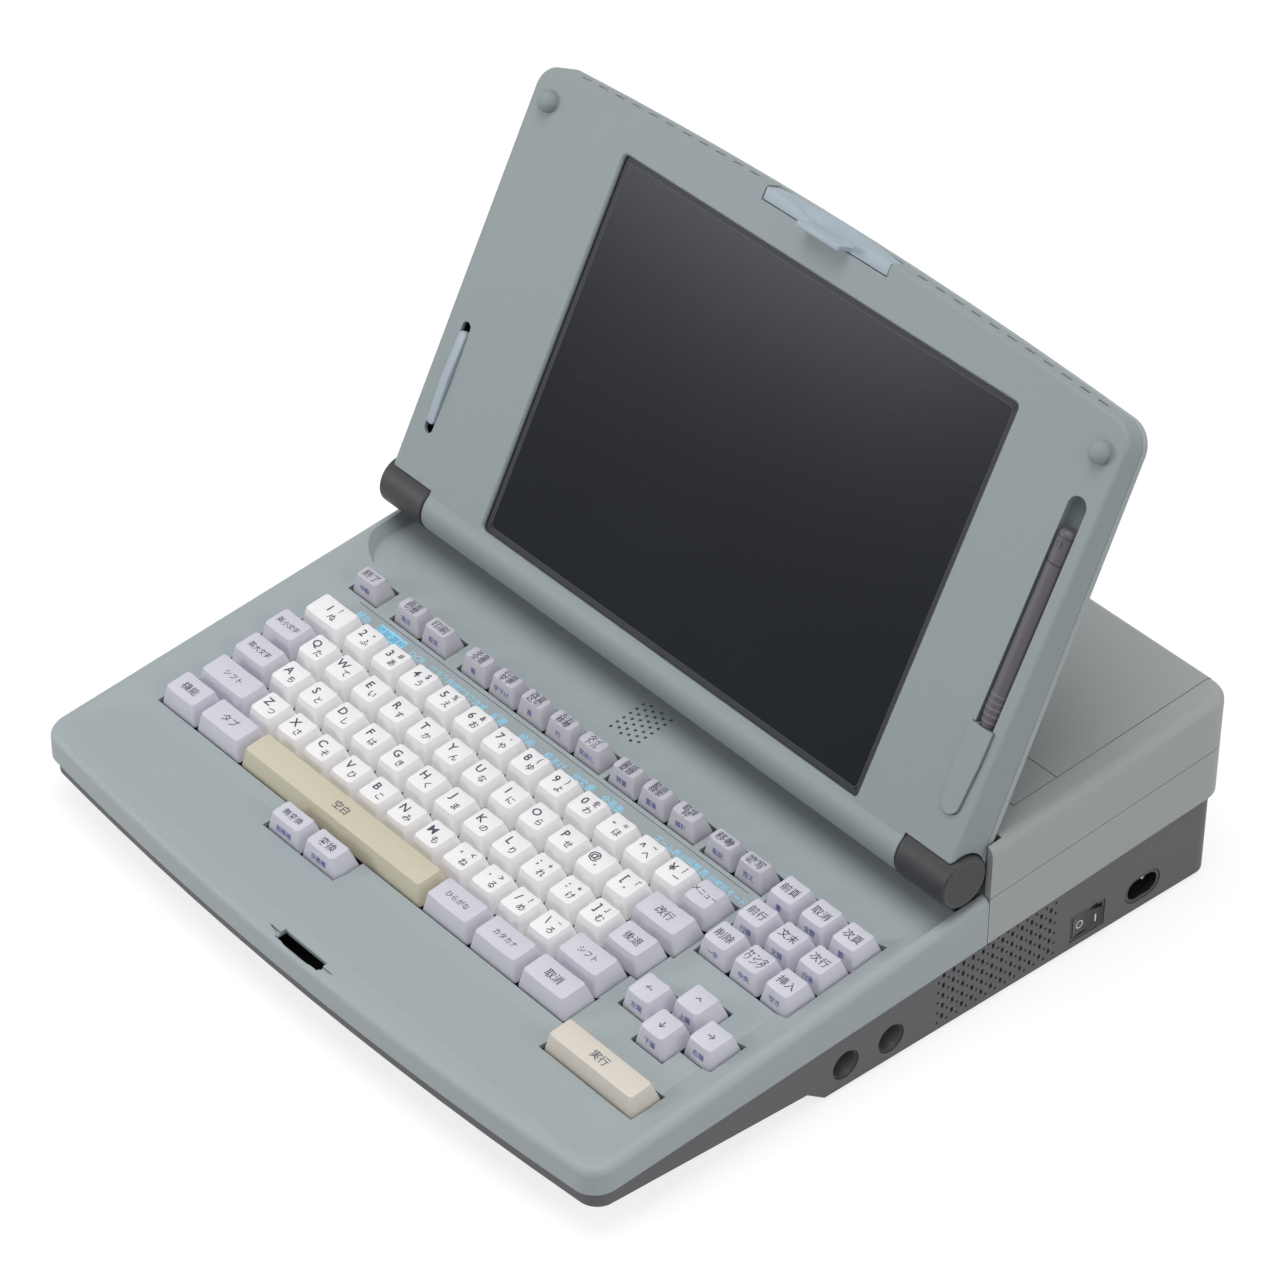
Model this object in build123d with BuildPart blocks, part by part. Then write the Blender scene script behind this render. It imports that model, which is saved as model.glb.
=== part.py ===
from build123d import *
import os
from math import cos, degrees, radians, sin, sqrt, tan

os.makedirs("parts", exist_ok=True)

# A portable electronic word processor: a keyboard deck, a tilting display
# and a thermal printer in the rear housing. Millimetres, X to the right,
# Y to the rear, Z up. The origin is on the table, under the middle of the
# case footprint.

# ---------------------------------------------------------------- case sizes
CASE_WIDTH = 375.0
CASE_DEPTH = 360.0          # front corners to rear face
FRONT_BOW = 9.0             # how far the front edge bulges past its corners
CORNER_RADIUS = 12.0        # case corners in plan
WALL = 2.5                  # moulded cover walls
SEAM = 0.4                  # gap between two fixed covers
FIT = 0.3                   # gap beside a part that moves
RUN = 0.05                  # radial running fit of shafts

Y_FRONT = -(CASE_DEPTH - FRONT_BOW) / 2
Y_REAR = Y_FRONT + CASE_DEPTH
HALF_WIDTH = CASE_WIDTH / 2

# Places inside the case follow its size. Both are 1 on this case.
WIDER = CASE_WIDTH / 375.0
DEEPER = CASE_DEPTH / 360.0

# Slope of the keyboard deck, measured at the front corners.
DECK_FRONT_Z = 37.6
DECK_TILT = 6.63
DECK_DEPTH = 216.4 * DEEPER  # front corners to the seam of the rear housing
DECK_EDGE_RADIUS = 4.0

# Line where the light covers end and the dark tray starts.
SPLIT_FRONT_Z = 24.5
SPLIT_TILT = 3.5
TONGUE = 3.0                # tray wall that reaches up inside the covers

# Rear housing: a band, and a cover on top of it.
BAND_FRONT_Z = DECK_FRONT_Z + DECK_DEPTH * tan(radians(DECK_TILT)) - 0.15
HOUSING_FRONT_Z = BAND_FRONT_Z + 27.2
HOUSING_TILT = 4.1
HOUSING_EDGE_RADIUS = 5.0
CHEEK = 3.4                 # thickness of the cover sides beside the display
FRONT_WALL_BACK = 8.0       # cover front wall, behind the seam

# Underside of the tray.
FOOT_HEIGHT = 2.0
FOOT_RADIUS = 9.0
BELLY_FRONT_Z = 16.0        # underside at the front corners
BELLY_STEP_Z = 9.5          # underside just before the step
STEP_START = 118.0 * DEEPER
STEP_END = 128.0 * DEEPER
BENCH_HEIGHT = 4.5          # circuit boards above the tray floor
BOARD_THICKNESS = 1.6

# ------------------------------------------------------------- display sizes
HINGE_BACK = DECK_DEPTH - 13.9  # hinge axis behind the front corners
HINGE_Z = BAND_FRONT_Z + 15.6
LEAN = 27.0                 # display behind the vertical, as it stands open
BARREL_RADIUS = 12.5
BARREL_OUTER_X = HALF_WIDTH - 1.75
BARREL_INNER_X = BARREL_OUTER_X - 29.75
PIN_RADIUS = 4.0
DISPLAY_HALF = HALF_WIDTH - 4.25
DISPLAY_TOP = HINGE_BACK + 4.7  # top corners above the hinge axis
DISPLAY_BOW = 6.0
DISPLAY_CORNER = 12.0
BEZEL_FACE = 10.7           # bezel face in front of the hinge axis
DISPLAY_RIM = 1.8           # rounding of the bezel's outer edge
TOP_THICKNESS = 13.0
TOP_SLOTS = 11              # vent slots in the top edge, on each side
TOP_SLOT_START = 52.0 * WIDER
TOP_SLOT_PITCH = 10.8 * WIDER
TOP_SLOT = (5.6, 3.0, 2.2)
TOP_SLOT_N = 5.4
ROLL_RADIUS = 12.0          # bottom roll around the hinge axis
BEZEL_WALL = 2.0
BACK_LIP = 3.2              # height of the back cover at the seam
PANEL_SEAM = 0.3
WINDOW_WIDTH = 2 * DISPLAY_HALF - 120.9
WINDOW_HEIGHT = DISPLAY_TOP - 23.3
WINDOW_X = 2.7
WINDOW_BOTTOM = 6.8
WINDOW_CORNER = 2.5
WINDOW_BEVEL = 0.8

# ------------------------------------------------------------ keyboard sizes
KEY_PITCH = 19.0 * WIDER
KEY_GAP = 1.2
ROW_PITCH = 19.05 * DEEPER
KEY_WIDTH = KEY_PITCH - KEY_GAP
KEY_DEPTH = ROW_PITCH - KEY_GAP
FIELD_DEPTH = 5.0           # key field below the palm rest
FIELD_HALF = HALF_WIDTH - 5.0
FIELD_FRONT = 4.0 * DEEPER
FIELD_CORNER = 14.0
FIELD_SIDE_SLOPE = 14.0     # width of the gentle slopes round the field
FIELD_FRONT_SLOPE = 38.0 * DEEPER
COVE_START = 167.0 * DEEPER  # behind the keys the field opens to the hinges
COVE_HALF = HALF_WIDTH - 4.8
COVE_CORNER = 22.0
COVE_SLOPE = 4.0
STRIP_LINE_V = 152.6 * DEEPER  # fine groove between the rows of labels and keys
STRIP_LINE = (262.0 * WIDER, 0.6)
STRIP_LINE_X = -22.0 * WIDER
STRIP_LINE_DEPTH = 0.5
KEY_RISE = 9.0              # key tops above the field
KEY_SKIRT = 1.5             # key skirts below the field
KEY_TRAVEL = 3.5
KEY_TAPER = 13.0
KEY_CORNER = 1.6
KEY_MARGIN = 1.0            # key skirts to the edge of their hole
STEM_RADIUS = 3.0
STEM_LENGTH = 5.5
GUIDE_WALL = 1.8

FIRST_KEY_X = -144.15 * WIDER  # first key of the number row
ROW_NUMBER = 134.5 * DEEPER  # distances up the deck slope
ROW_UPPER = ROW_NUMBER - ROW_PITCH
ROW_HOME = ROW_UPPER - ROW_PITCH
ROW_LOWER = ROW_HOME - ROW_PITCH
ROW_SPACE = ROW_LOWER - 18.25 * DEEPER
ROW_CONVERT = 41.2 * DEEPER
ROW_FUNCTION = 162.0 * DEEPER
ROW_EXECUTE = 42.4 * DEEPER

HINGE_Y = Y_FRONT + HINGE_BACK

DECK = Plane(
    origin=(0, Y_FRONT, DECK_FRONT_Z),
    x_dir=(1, 0, 0),
    z_dir=(0, -sin(radians(DECK_TILT)), cos(radians(DECK_TILT))),
)
DECK_SIDE = Plane(
    origin=DECK.origin,
    x_dir=(0, cos(radians(DECK_TILT)), sin(radians(DECK_TILT))),
    z_dir=(1, 0, 0),
)
PANEL = Plane(
    origin=(0, HINGE_Y, HINGE_Z),
    x_dir=(1, 0, 0),
    z_dir=(0, -cos(radians(LEAN)), sin(radians(LEAN))),
)
PANEL_SIDE = Plane(
    origin=PANEL.origin,
    x_dir=(0, sin(radians(LEAN)), cos(radians(LEAN))),
    z_dir=(1, 0, 0),
)
# Hinge axis measured along the deck and square to it.
HINGE_V = DECK_SIDE.to_local_coords(PANEL.origin).X
HINGE_RISE = DECK_SIDE.to_local_coords(PANEL.origin).Y


def split_z(y):
    """Height of the line between the covers and the tray."""
    return SPLIT_FRONT_Z + (y - Y_FRONT) * tan(radians(SPLIT_TILT))


def deck_z(y):
    """Height of the deck plane."""
    return DECK_FRONT_Z + (y - Y_FRONT) * tan(radians(DECK_TILT))


def band_z(y):
    """Height of the seam between the rear band and the rear cover."""
    return BAND_FRONT_Z + (y - Y_FRONT - DECK_DEPTH) * tan(radians(HOUSING_TILT))


def housing_z(y):
    """Height of the top of the rear cover."""
    return HOUSING_FRONT_Z + (y - Y_FRONT - DECK_DEPTH) * tan(radians(HOUSING_TILT))


def write(piece, label):
    """Label a finished piece and write its STEP file."""
    piece.part.label = label
    export_step(piece.part, f"parts/{label}.step")


def case_outline(inset):
    """Plan outline of the case, moved inwards by inset."""
    half = HALF_WIDTH - inset
    front = Y_FRONT + inset
    rear = Y_REAR - inset
    with BuildSketch(Plane.XY) as outline:
        with BuildLine():
            ThreePointArc((-half, front), (0, front - FRONT_BOW), (half, front))
            Polyline((half, front), (half, rear), (-half, rear), (-half, front))
        make_face()
        fillet(outline.vertices(), CORNER_RADIUS - inset)
    return outline.sketch


def slab(inset, profile, height=130.0):
    """Case outline stood up and trimmed to a side profile of (Y, Z) points."""
    with BuildPart() as body:
        extrude(to_extrude=case_outline(inset), amount=height)
        with BuildSketch(Plane.YZ):
            with BuildLine():
                Polyline(*profile, close=True)
            make_face()
        extrude(amount=CASE_WIDTH, both=True, mode=Mode.INTERSECT)
    return body.part


# ================================================================= base tray
TRAY_INSET = WALL + FIT
TRAY_HALF = HALF_WIDTH - TRAY_INSET
TRAY_FLOOR = FOOT_HEIGHT + WALL
BENCH_Z = TRAY_FLOOR + BENCH_HEIGHT
Y_STEP = Y_FRONT + STEP_START
BEYOND = 30.0               # how far cutting profiles pass the case


def belly_profile(raise_by, top_raise):
    """Side profile of the tray, its underside raised by raise_by."""
    slope = (BELLY_FRONT_Z - BELLY_STEP_Z) / STEP_START
    front = Y_FRONT - BEYOND
    rear = Y_REAR + BEYOND
    return [
        (front, BELLY_FRONT_Z + slope * BEYOND + raise_by),
        (Y_STEP + raise_by / 2, BELLY_STEP_Z + raise_by),
        (Y_FRONT + STEP_END + raise_by / 2, FOOT_HEIGHT + raise_by),
        (rear, FOOT_HEIGHT + raise_by),
        (rear, split_z(rear) + top_raise),
        (front, split_z(front) + top_raise),
    ]


# Things in the side walls, by distance behind the front corners and height.
JACK_PLACES = [(139.4 * DEEPER, 13.7), (165.2 * DEEPER, 13.0)]
JACK_RADIUS = 7.0
VENT_BACK = 226.0 * DEEPER
VENT_Z = 20.0
VENT_COLUMNS = 13
VENT_ROWS = 6
VENT_PITCH = 5.7
VENT_HOLE = (1.6, 2.6)      # big holes, with small ones between them
VENT_SMALL_HOLE = (1.1, 1.5)
SWITCH_BACK = 280.5 * DEEPER
SWITCH_Z = 12.6
SWITCH_WIDTH = 20.0
SWITCH_HEIGHT = 13.6
INLET_BACK = 314.0 * DEEPER
INLET_Z = 13.4
INLET_WIDTH = 21.0
INLET_HEIGHT = 13.6
INLET_DEPTH = 18.0
DRIVE_BACK = 198.0 * DEEPER  # front side of the diskette drive
DRIVE_WIDTH = 101.0 * DEEPER
DRIVE_DEPTH = 140.0 * WIDER
DRIVE_HEIGHT = 25.0
DRIVE_Z = 8.0

FRONT_FOOT_BACK = 36.0 * DEEPER
FRONT_FOOT_X = HALF_WIDTH - 37.5
REAR_FOOT_BACK = CASE_DEPTH - 32.0
REAR_FOOT_X = HALF_WIDTH - 27.5
FRONT_POST_RADIUS = 11.0

CHASSIS_Z = HOUSING_FRONT_Z - 42.8  # underside of the printer chassis
CHASSIS_PLATE = 1.5
CHASSIS_POST_RADIUS = 3.5
POSTS_FRONT_Y = Y_FRONT + 240.0 * DEEPER
POSTS_REAR_Y = Y_FRONT + 338.0 * DEEPER
CHASSIS_POSTS = [
    (-39.5 * WIDER, POSTS_FRONT_Y),
    (-39.5 * WIDER, POSTS_REAR_Y),
    (79.0 * WIDER, POSTS_FRONT_Y),
    (79.0 * WIDER, POSTS_REAR_Y),
    (-150.0 * WIDER, Y_FRONT + 328.0 * DEEPER),
]
BOARDS_REAR_Y = Y_FRONT + 350.0 * DEEPER
MAIN_BOARD_X = (-34.0 * WIDER, 72.0 * WIDER)
MAIN_BOARD_Y = (Y_FRONT + 137.0 * DEEPER, BOARDS_REAR_Y)
SUPPLY_X = (88.0 * WIDER, 160.0 * WIDER)
SUPPLY_Y = (Y_FRONT + 224.0 * DEEPER, BOARDS_REAR_Y)
BOARD_POST_INSET = 6.0
SCREW_BOSS_RADIUS = 3.6
SCREW_RADIUS = 1.5
SCREW_HEAD_RADIUS = 2.9
SCREW_LENGTH = 10.0
SCREW_HEAD_HEIGHT = 1.6
SCREW_SINK = 2.0            # screw heads inside the underside
BOSS_HEIGHT = 12.0
SCREWS_FRONT_Y = Y_FRONT + 66.0 * DEEPER
SCREWS_REAR_Y = Y_REAR - 10.0
SCREW_PLACES = [
    (17.5 - HALF_WIDTH, SCREWS_FRONT_Y),
    (HALF_WIDTH - 17.5, SCREWS_FRONT_Y),
    (21.5 - HALF_WIDTH, SCREWS_REAR_Y),
    (HALF_WIDTH - 19.5, SCREWS_REAR_Y),
]
DRIVE_BAR_INSET = 20.0      # bars under the diskette drive
DRIVE_BAR_WIDTH = 6.0

RIGHT_WALL = Plane.YZ.offset(TRAY_HALF)
LEFT_WALL = Plane.YZ.offset(-TRAY_HALF)


def belly_z(y):
    """Height of the tray underside."""
    if y < Y_STEP:
        return BELLY_STEP_Z + (Y_STEP - y) * (BELLY_FRONT_Z - BELLY_STEP_Z) / STEP_START
    return FOOT_HEIGHT


def board_corners(x_range, y_range):
    """Places of the four posts under a circuit board."""
    inset = BOARD_POST_INSET
    xs = (x_range[0] + inset, x_range[1] - inset)
    ys = (y_range[0] + inset, y_range[1] - inset)
    return [(x, y) for x in xs for y in ys]


board_posts = board_corners(MAIN_BOARD_X, MAIN_BOARD_Y) + board_corners(SUPPLY_X, SUPPLY_Y)

with BuildPart() as base_tray:
    add(slab(TRAY_INSET, belly_profile(0, TONGUE)))
    add(slab(TRAY_INSET + WALL, belly_profile(WALL, TONGUE + 5)), mode=Mode.SUBTRACT)
    # Posts under the front feet.
    with BuildSketch(Plane.XY.offset(FOOT_HEIGHT)):
        with Locations(*[(x, Y_FRONT + FRONT_FOOT_BACK) for x in (-FRONT_FOOT_X, FRONT_FOOT_X)]):
            Circle(FRONT_POST_RADIUS)
    extrude(amount=belly_z(Y_FRONT + FRONT_FOOT_BACK) + WALL / 2 - FOOT_HEIGHT)
    # Posts under the boards, the drive and the printer chassis.
    with BuildSketch(Plane.XY.offset(TRAY_FLOOR - WALL / 2)):
        with Locations(*board_posts):
            Circle(CHASSIS_POST_RADIUS)
    extrude(amount=BENCH_HEIGHT + WALL / 2)
    with BuildSketch(Plane.XY.offset(TRAY_FLOOR - WALL / 2)):
        with Locations(*CHASSIS_POSTS):
            Circle(CHASSIS_POST_RADIUS)
    extrude(amount=CHASSIS_Z - TRAY_FLOOR + WALL / 2)
    with BuildSketch(Plane.XY.offset(TRAY_FLOOR - WALL / 2)):
        for x in (DRIVE_BAR_INSET, DRIVE_DEPTH - DRIVE_BAR_INSET):
            with Locations((x - TRAY_HALF, Y_FRONT + DRIVE_BACK + DRIVE_WIDTH / 2)):
                Rectangle(DRIVE_BAR_WIDTH, DRIVE_WIDTH - 2 * DRIVE_BAR_WIDTH)
    extrude(amount=DRIVE_Z - TRAY_FLOOR + WALL / 2)
    # Screw bosses, with a through hole and a sunk head.
    for place in SCREW_PLACES:
        bottom = belly_z(place[1])
        with Locations((place[0], place[1], bottom)):
            Cylinder(SCREW_BOSS_RADIUS, BOSS_HEIGHT, align=(Align.CENTER, Align.CENTER, Align.MIN))
            Cylinder(SCREW_RADIUS + FIT, 2 * BOSS_HEIGHT, mode=Mode.SUBTRACT)
            Cylinder(SCREW_HEAD_RADIUS + FIT, 2 * SCREW_SINK, mode=Mode.SUBTRACT)
    # Right wall: two round sockets, vent, switch and mains inlet.
    with BuildSketch(RIGHT_WALL.offset(1)):
        with Locations(*[(Y_FRONT + back, z) for back, z in JACK_PLACES]):
            Circle(JACK_RADIUS + FIT)
        with Locations((Y_FRONT + SWITCH_BACK, SWITCH_Z)):
            Rectangle(SWITCH_WIDTH + 2 * SEAM, SWITCH_HEIGHT + 2 * SEAM)
        with Locations((Y_FRONT + INLET_BACK, INLET_Z)):
            SlotOverall(INLET_WIDTH + 2 * FIT, INLET_HEIGHT + 2 * FIT)
        with Locations((Y_FRONT + VENT_BACK, VENT_Z)):
            with GridLocations(VENT_PITCH, VENT_PITCH, VENT_COLUMNS, VENT_ROWS):
                Rectangle(*VENT_SMALL_HOLE)
            with GridLocations(VENT_PITCH, VENT_PITCH, VENT_COLUMNS - 1, VENT_ROWS - 1):
                Rectangle(*VENT_HOLE)
    extrude(amount=-WALL - 2, mode=Mode.SUBTRACT)
    # Left wall: face of the diskette drive.
    with BuildSketch(LEFT_WALL.offset(-1)):
        with Locations((Y_FRONT + DRIVE_BACK + DRIVE_WIDTH / 2, DRIVE_Z + DRIVE_HEIGHT / 2)):
            Rectangle(DRIVE_WIDTH + 2 * FIT, DRIVE_HEIGHT + 2 * FIT)
    extrude(amount=WALL + 2, mode=Mode.SUBTRACT)
    # Gap in the raised wall for the two cover walls that meet at the seam.
    with Locations((0, Y_FRONT + DECK_DEPTH, split_z(Y_FRONT + DECK_DEPTH))):
        Box(CASE_WIDTH, 2 * (WALL + SEAM) + SEAM, 4 * TONGUE,
            align=(Align.CENTER, Align.CENTER, Align.MIN), mode=Mode.SUBTRACT)
write(base_tray, "base_tray")

with BuildPart() as rubber_feet:
    with BuildSketch(Plane.XY):
        with Locations(
            (-FRONT_FOOT_X, Y_FRONT + FRONT_FOOT_BACK),
            (FRONT_FOOT_X, Y_FRONT + FRONT_FOOT_BACK),
            (-REAR_FOOT_X, Y_FRONT + REAR_FOOT_BACK),
            (REAR_FOOT_X, Y_FRONT + REAR_FOOT_BACK),
        ):
            Circle(FOOT_RADIUS)
    extrude(amount=FOOT_HEIGHT)
    fillet(rubber_feet.faces().group_by(Axis.Z)[0].edges(), 0.3 * FOOT_HEIGHT)
write(rubber_feet, "rubber_feet")

with BuildPart() as case_screws:
    for place in SCREW_PLACES:
        seat = belly_z(place[1]) + SCREW_SINK - SEAM / 2
        with Locations((place[0], place[1], seat)):
            Cylinder(SCREW_RADIUS, SCREW_LENGTH, align=(Align.CENTER, Align.CENTER, Align.MIN))
            Cylinder(SCREW_HEAD_RADIUS, SCREW_HEAD_HEIGHT, align=(Align.CENTER, Align.CENTER, Align.MAX))
write(case_screws, "case_screws")

# ============================================================= keyboard deck
KEY_HEIGHT = KEY_RISE + KEY_SKIRT
FIELD = DECK.offset(-FIELD_DEPTH)
KEY_SEAT = FIELD.offset(-KEY_SKIRT)


def left_x(stagger):
    """Left edge of the first letter key of a row."""
    return FIRST_KEY_X + (stagger - 0.5) * KEY_PITCH


def letter_row(count, stagger, v):
    """Letter keys of one row, as (x, v, width, depth)."""
    first = FIRST_KEY_X + stagger * KEY_PITCH
    return [(first + i * KEY_PITCH, v, KEY_WIDTH, KEY_DEPTH) for i in range(count)]


def between(left, right, v, depth=KEY_DEPTH):
    """A wide key that fills the space from left to right."""
    return ((left + right) / 2, v, right - left - KEY_GAP, depth)


FIELD_LEFT = -168.6 * WIDER  # left edge of the widest key row
LETTER_COUNT = {"number": 13, "upper": 12, "home": 12, "lower": 11}
STAGGER = {"number": 0.0, "upper": 0.5, "home": 0.75, "lower": 1.25}
CLUSTER_RIGHT = {
    "number": 112.4 * WIDER,
    "upper": 114.3 * WIDER,
    "home": 112.5 * WIDER,
    "lower": 108.9 * WIDER,
}


def row_end(name):
    """Right edge of the last letter key of a row."""
    return left_x(STAGGER[name]) + LETTER_COUNT[name] * KEY_PITCH


# The first key of the number row is one and a half keys wide.
number_keys = [
    between(left_x(STAGGER["number"] - 0.5), left_x(STAGGER["number"] + 1), ROW_NUMBER)
] + letter_row(LETTER_COUNT["number"] - 1, STAGGER["number"] + 1, ROW_NUMBER)
upper_keys = letter_row(LETTER_COUNT["upper"], STAGGER["upper"], ROW_UPPER)
home_keys = letter_row(LETTER_COUNT["home"], STAGGER["home"], ROW_HOME)
lower_keys = letter_row(LETTER_COUNT["lower"], STAGGER["lower"], ROW_LOWER)

SPACE_LEFT = -110.2 * WIDER
SPACE_RIGHT = 15.2 * WIDER
WIDE_KEY = 31.4 * WIDER
SHIFT_LEFT_X = -165.0 * WIDER
HOME_LEFT = FIELD_LEFT + 2.5 * WIDER
SPACE_ROW_LEFT = FIELD_LEFT + 1.0 * WIDER
TAB_LEFT = SPACE_ROW_LEFT + 25.4 * WIDER
return_key = [between(row_end("upper"), CLUSTER_RIGHT["upper"], ROW_UPPER)]
backspace_key = [between(row_end("home"), CLUSTER_RIGHT["home"], ROW_HOME)]
shift_left = [between(SHIFT_LEFT_X, left_x(STAGGER["lower"]), ROW_LOWER)]
shift_right = [between(row_end("lower"), CLUSTER_RIGHT["lower"], ROW_LOWER)]
space_bar = [between(SPACE_LEFT, SPACE_RIGHT, ROW_SPACE)]
command_keys = [
    between(row_end("number"), CLUSTER_RIGHT["number"], ROW_NUMBER),
    between(FIELD_LEFT, left_x(STAGGER["upper"]), ROW_UPPER),
    between(HOME_LEFT, left_x(STAGGER["home"]), ROW_HOME),
    between(SPACE_ROW_LEFT, TAB_LEFT, ROW_SPACE),
    between(TAB_LEFT, SPACE_LEFT, ROW_SPACE),
    between(SPACE_RIGHT, SPACE_RIGHT + WIDE_KEY, ROW_SPACE),
    between(SPACE_RIGHT + WIDE_KEY, SPACE_RIGHT + 2 * WIDE_KEY, ROW_SPACE),
    between(SPACE_RIGHT + 2 * WIDE_KEY, SPACE_RIGHT + 3 * WIDE_KEY, ROW_SPACE),
]
CONVERT_WIDTH = 24.0 * WIDER
CONVERT_X = -46.7 * WIDER
CONVERT_DEPTH = 14.6 * DEEPER
convert_keys = [
    between(CONVERT_X - CONVERT_WIDTH, CONVERT_X, ROW_CONVERT, CONVERT_DEPTH),
    between(CONVERT_X, CONVERT_X + CONVERT_WIDTH, ROW_CONVERT, CONVERT_DEPTH),
]
EXECUTE_X = 142.1 * WIDER
EXECUTE_WIDTH = 57.0 * WIDER
EXECUTE_DEPTH = 16.6 * DEEPER
execute_key = [(EXECUTE_X, ROW_EXECUTE, EXECUTE_WIDTH - KEY_GAP, EXECUTE_DEPTH)]

PAD_X = 146.0 * WIDER       # middle column of the right-hand pad
PAD_PITCH = 19.2 * WIDER
PAD_ROW = 142.6 * DEEPER
PAD_ROW_PITCH = 18.5 * DEEPER
ARROW_V = 82.4 * DEEPER
ARROW_RISE = 9.55 * DEEPER
arrow_keys = [
    (PAD_X - PAD_PITCH, ARROW_V, KEY_WIDTH, KEY_DEPTH),
    (PAD_X + PAD_PITCH, ARROW_V, KEY_WIDTH, KEY_DEPTH),
    (PAD_X, ARROW_V + ARROW_RISE, KEY_WIDTH, KEY_DEPTH),
    (PAD_X, ARROW_V - ARROW_RISE, KEY_WIDTH, KEY_DEPTH),
]
pad_keys = [
    (PAD_X + column * PAD_PITCH, PAD_ROW + row * PAD_ROW_PITCH, KEY_WIDTH,
     PAD_ROW_PITCH - KEY_GAP)
    for column in (-1, 0, 1)
    for row in (-1, 0, 1)
]
FUNCTION_PITCH = 19.3 * WIDER
FUNCTION_DEPTH = 12.0 * DEEPER
FUNCTION_GROUPS = [(-154.5, 1), (-124.9, 2), (-77.8, 5), (22.4, 3), (84.8, 2)]
function_keys = [
    (first * WIDER + i * FUNCTION_PITCH, ROW_FUNCTION, FUNCTION_PITCH - KEY_GAP, FUNCTION_DEPTH)
    for first, count in FUNCTION_GROUPS
    for i in range(count)
]
KEY_BANKS = {
    "number_keys": number_keys,
    "upper_keys": upper_keys,
    "home_keys": home_keys,
    "lower_keys": lower_keys,
    "command_keys": command_keys,
    "convert_keys": convert_keys,
    "function_keys": function_keys,
    "pad_keys": pad_keys,
    "arrow_keys": arrow_keys,
    "space_bar": space_bar,
    "execute_key": execute_key,
    "return_key": return_key,
    "backspace_key": backspace_key,
    "shift_key_left": shift_left,
    "shift_key_right": shift_right,
}
all_keys = [key for bank in KEY_BANKS.values() for key in bank]

# Slot that receives the latch hook, and holes over the speaker.
HOOK_X = 3.0
HOOK_WIDTH = 26.0
HOOK_THICKNESS = 2.6
HOOK_PLAY = 1.2
LATCH_BOTTOM = DISPLAY_TOP - 1.0  # above the hinge axis, on the display
HOOK_S = LATCH_BOTTOM + 2.2
LATCH_TRAVEL = 2.5          # the latch slides this far up the display
SLOT_REAR = HINGE_V - HOOK_S + HOOK_THICKNESS / 2 + FIT
SLOT_FRONT = HINGE_V - HOOK_S - HOOK_THICKNESS / 2 - LATCH_TRAVEL - FIT
SLOT_LIP = 1.2              # rounding of the slot's rear edge
GROOVE_HALF = 21.4          # spindle-shaped groove round the slot
GROOVE_REAR = SLOT_REAR - 2.4
GROOVE_DEPTH = 1.2
SPEAKER_X = -2.0
SPEAKER_V = 189.5 * DEEPER
SPEAKER_RADIUS = 12.0
SPEAKER_HOLE_RADIUS = 0.8
SPEAKER_HOLE_PITCH = 1.9    # radius of one cell of the hole pattern
SPEAKER_HOLE_ROWS = 6
FIELD_LEVEL_BELOW = FIELD_DEPTH + WALL


def deck_profile(lower, rear):
    """Side profile under a plane parallel to the deck."""
    front = Y_FRONT - BEYOND
    return [
        (front, split_z(front) + SEAM / 2),
        (rear, split_z(rear) + SEAM / 2),
        (rear, deck_z(rear) - lower / cos(radians(DECK_TILT))),
        (front, deck_z(front) - lower / cos(radians(DECK_TILT))),
    ]


def on_deck_edge(edge):
    """True for the front and side edges of the deck's top face."""
    middle = DECK.to_local_coords(edge.center())
    return abs(middle.Z) < 0.01 and middle.Y < DECK_DEPTH - 5


def on_slot_lip(edge):
    """True for the top edge of the slot's rear wall."""
    middle = DECK.to_local_coords(edge.center())
    return abs(middle.Z) < 0.01 and abs(middle.Y - SLOT_REAR) < 0.01


def sunk_form(half, front, corner, side_slope, front_slope, below):
    """Form sunk into the deck, with sloping sides, open to the rear."""
    rear = DECK_DEPTH + BEYOND
    with BuildPart() as form:
        with BuildSketch(DECK.offset(-below)):
            with Locations((0, (front + rear) / 2)):
                RectangleRounded(2 * half, rear - front, corner)
        with BuildSketch(FIELD.offset(-below)):
            with Locations((0, (front + front_slope + rear) / 2)):
                RectangleRounded(2 * (half - side_slope), rear - front - front_slope,
                                 corner - side_slope / 2)
        loft()
    return form.part


def key_field(below):
    """Key field and cove, or the same forms lowered to hollow the deck."""
    grow = below / 2
    with BuildPart() as forms:
        add(sunk_form(FIELD_HALF + grow, FIELD_FRONT - grow, FIELD_CORNER,
                      FIELD_SIDE_SLOPE, FIELD_FRONT_SLOPE, below))
        add(sunk_form(COVE_HALF + grow, COVE_START - grow, COVE_CORNER,
                      COVE_SLOPE, COVE_SLOPE, below))
    return forms.part


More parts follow.
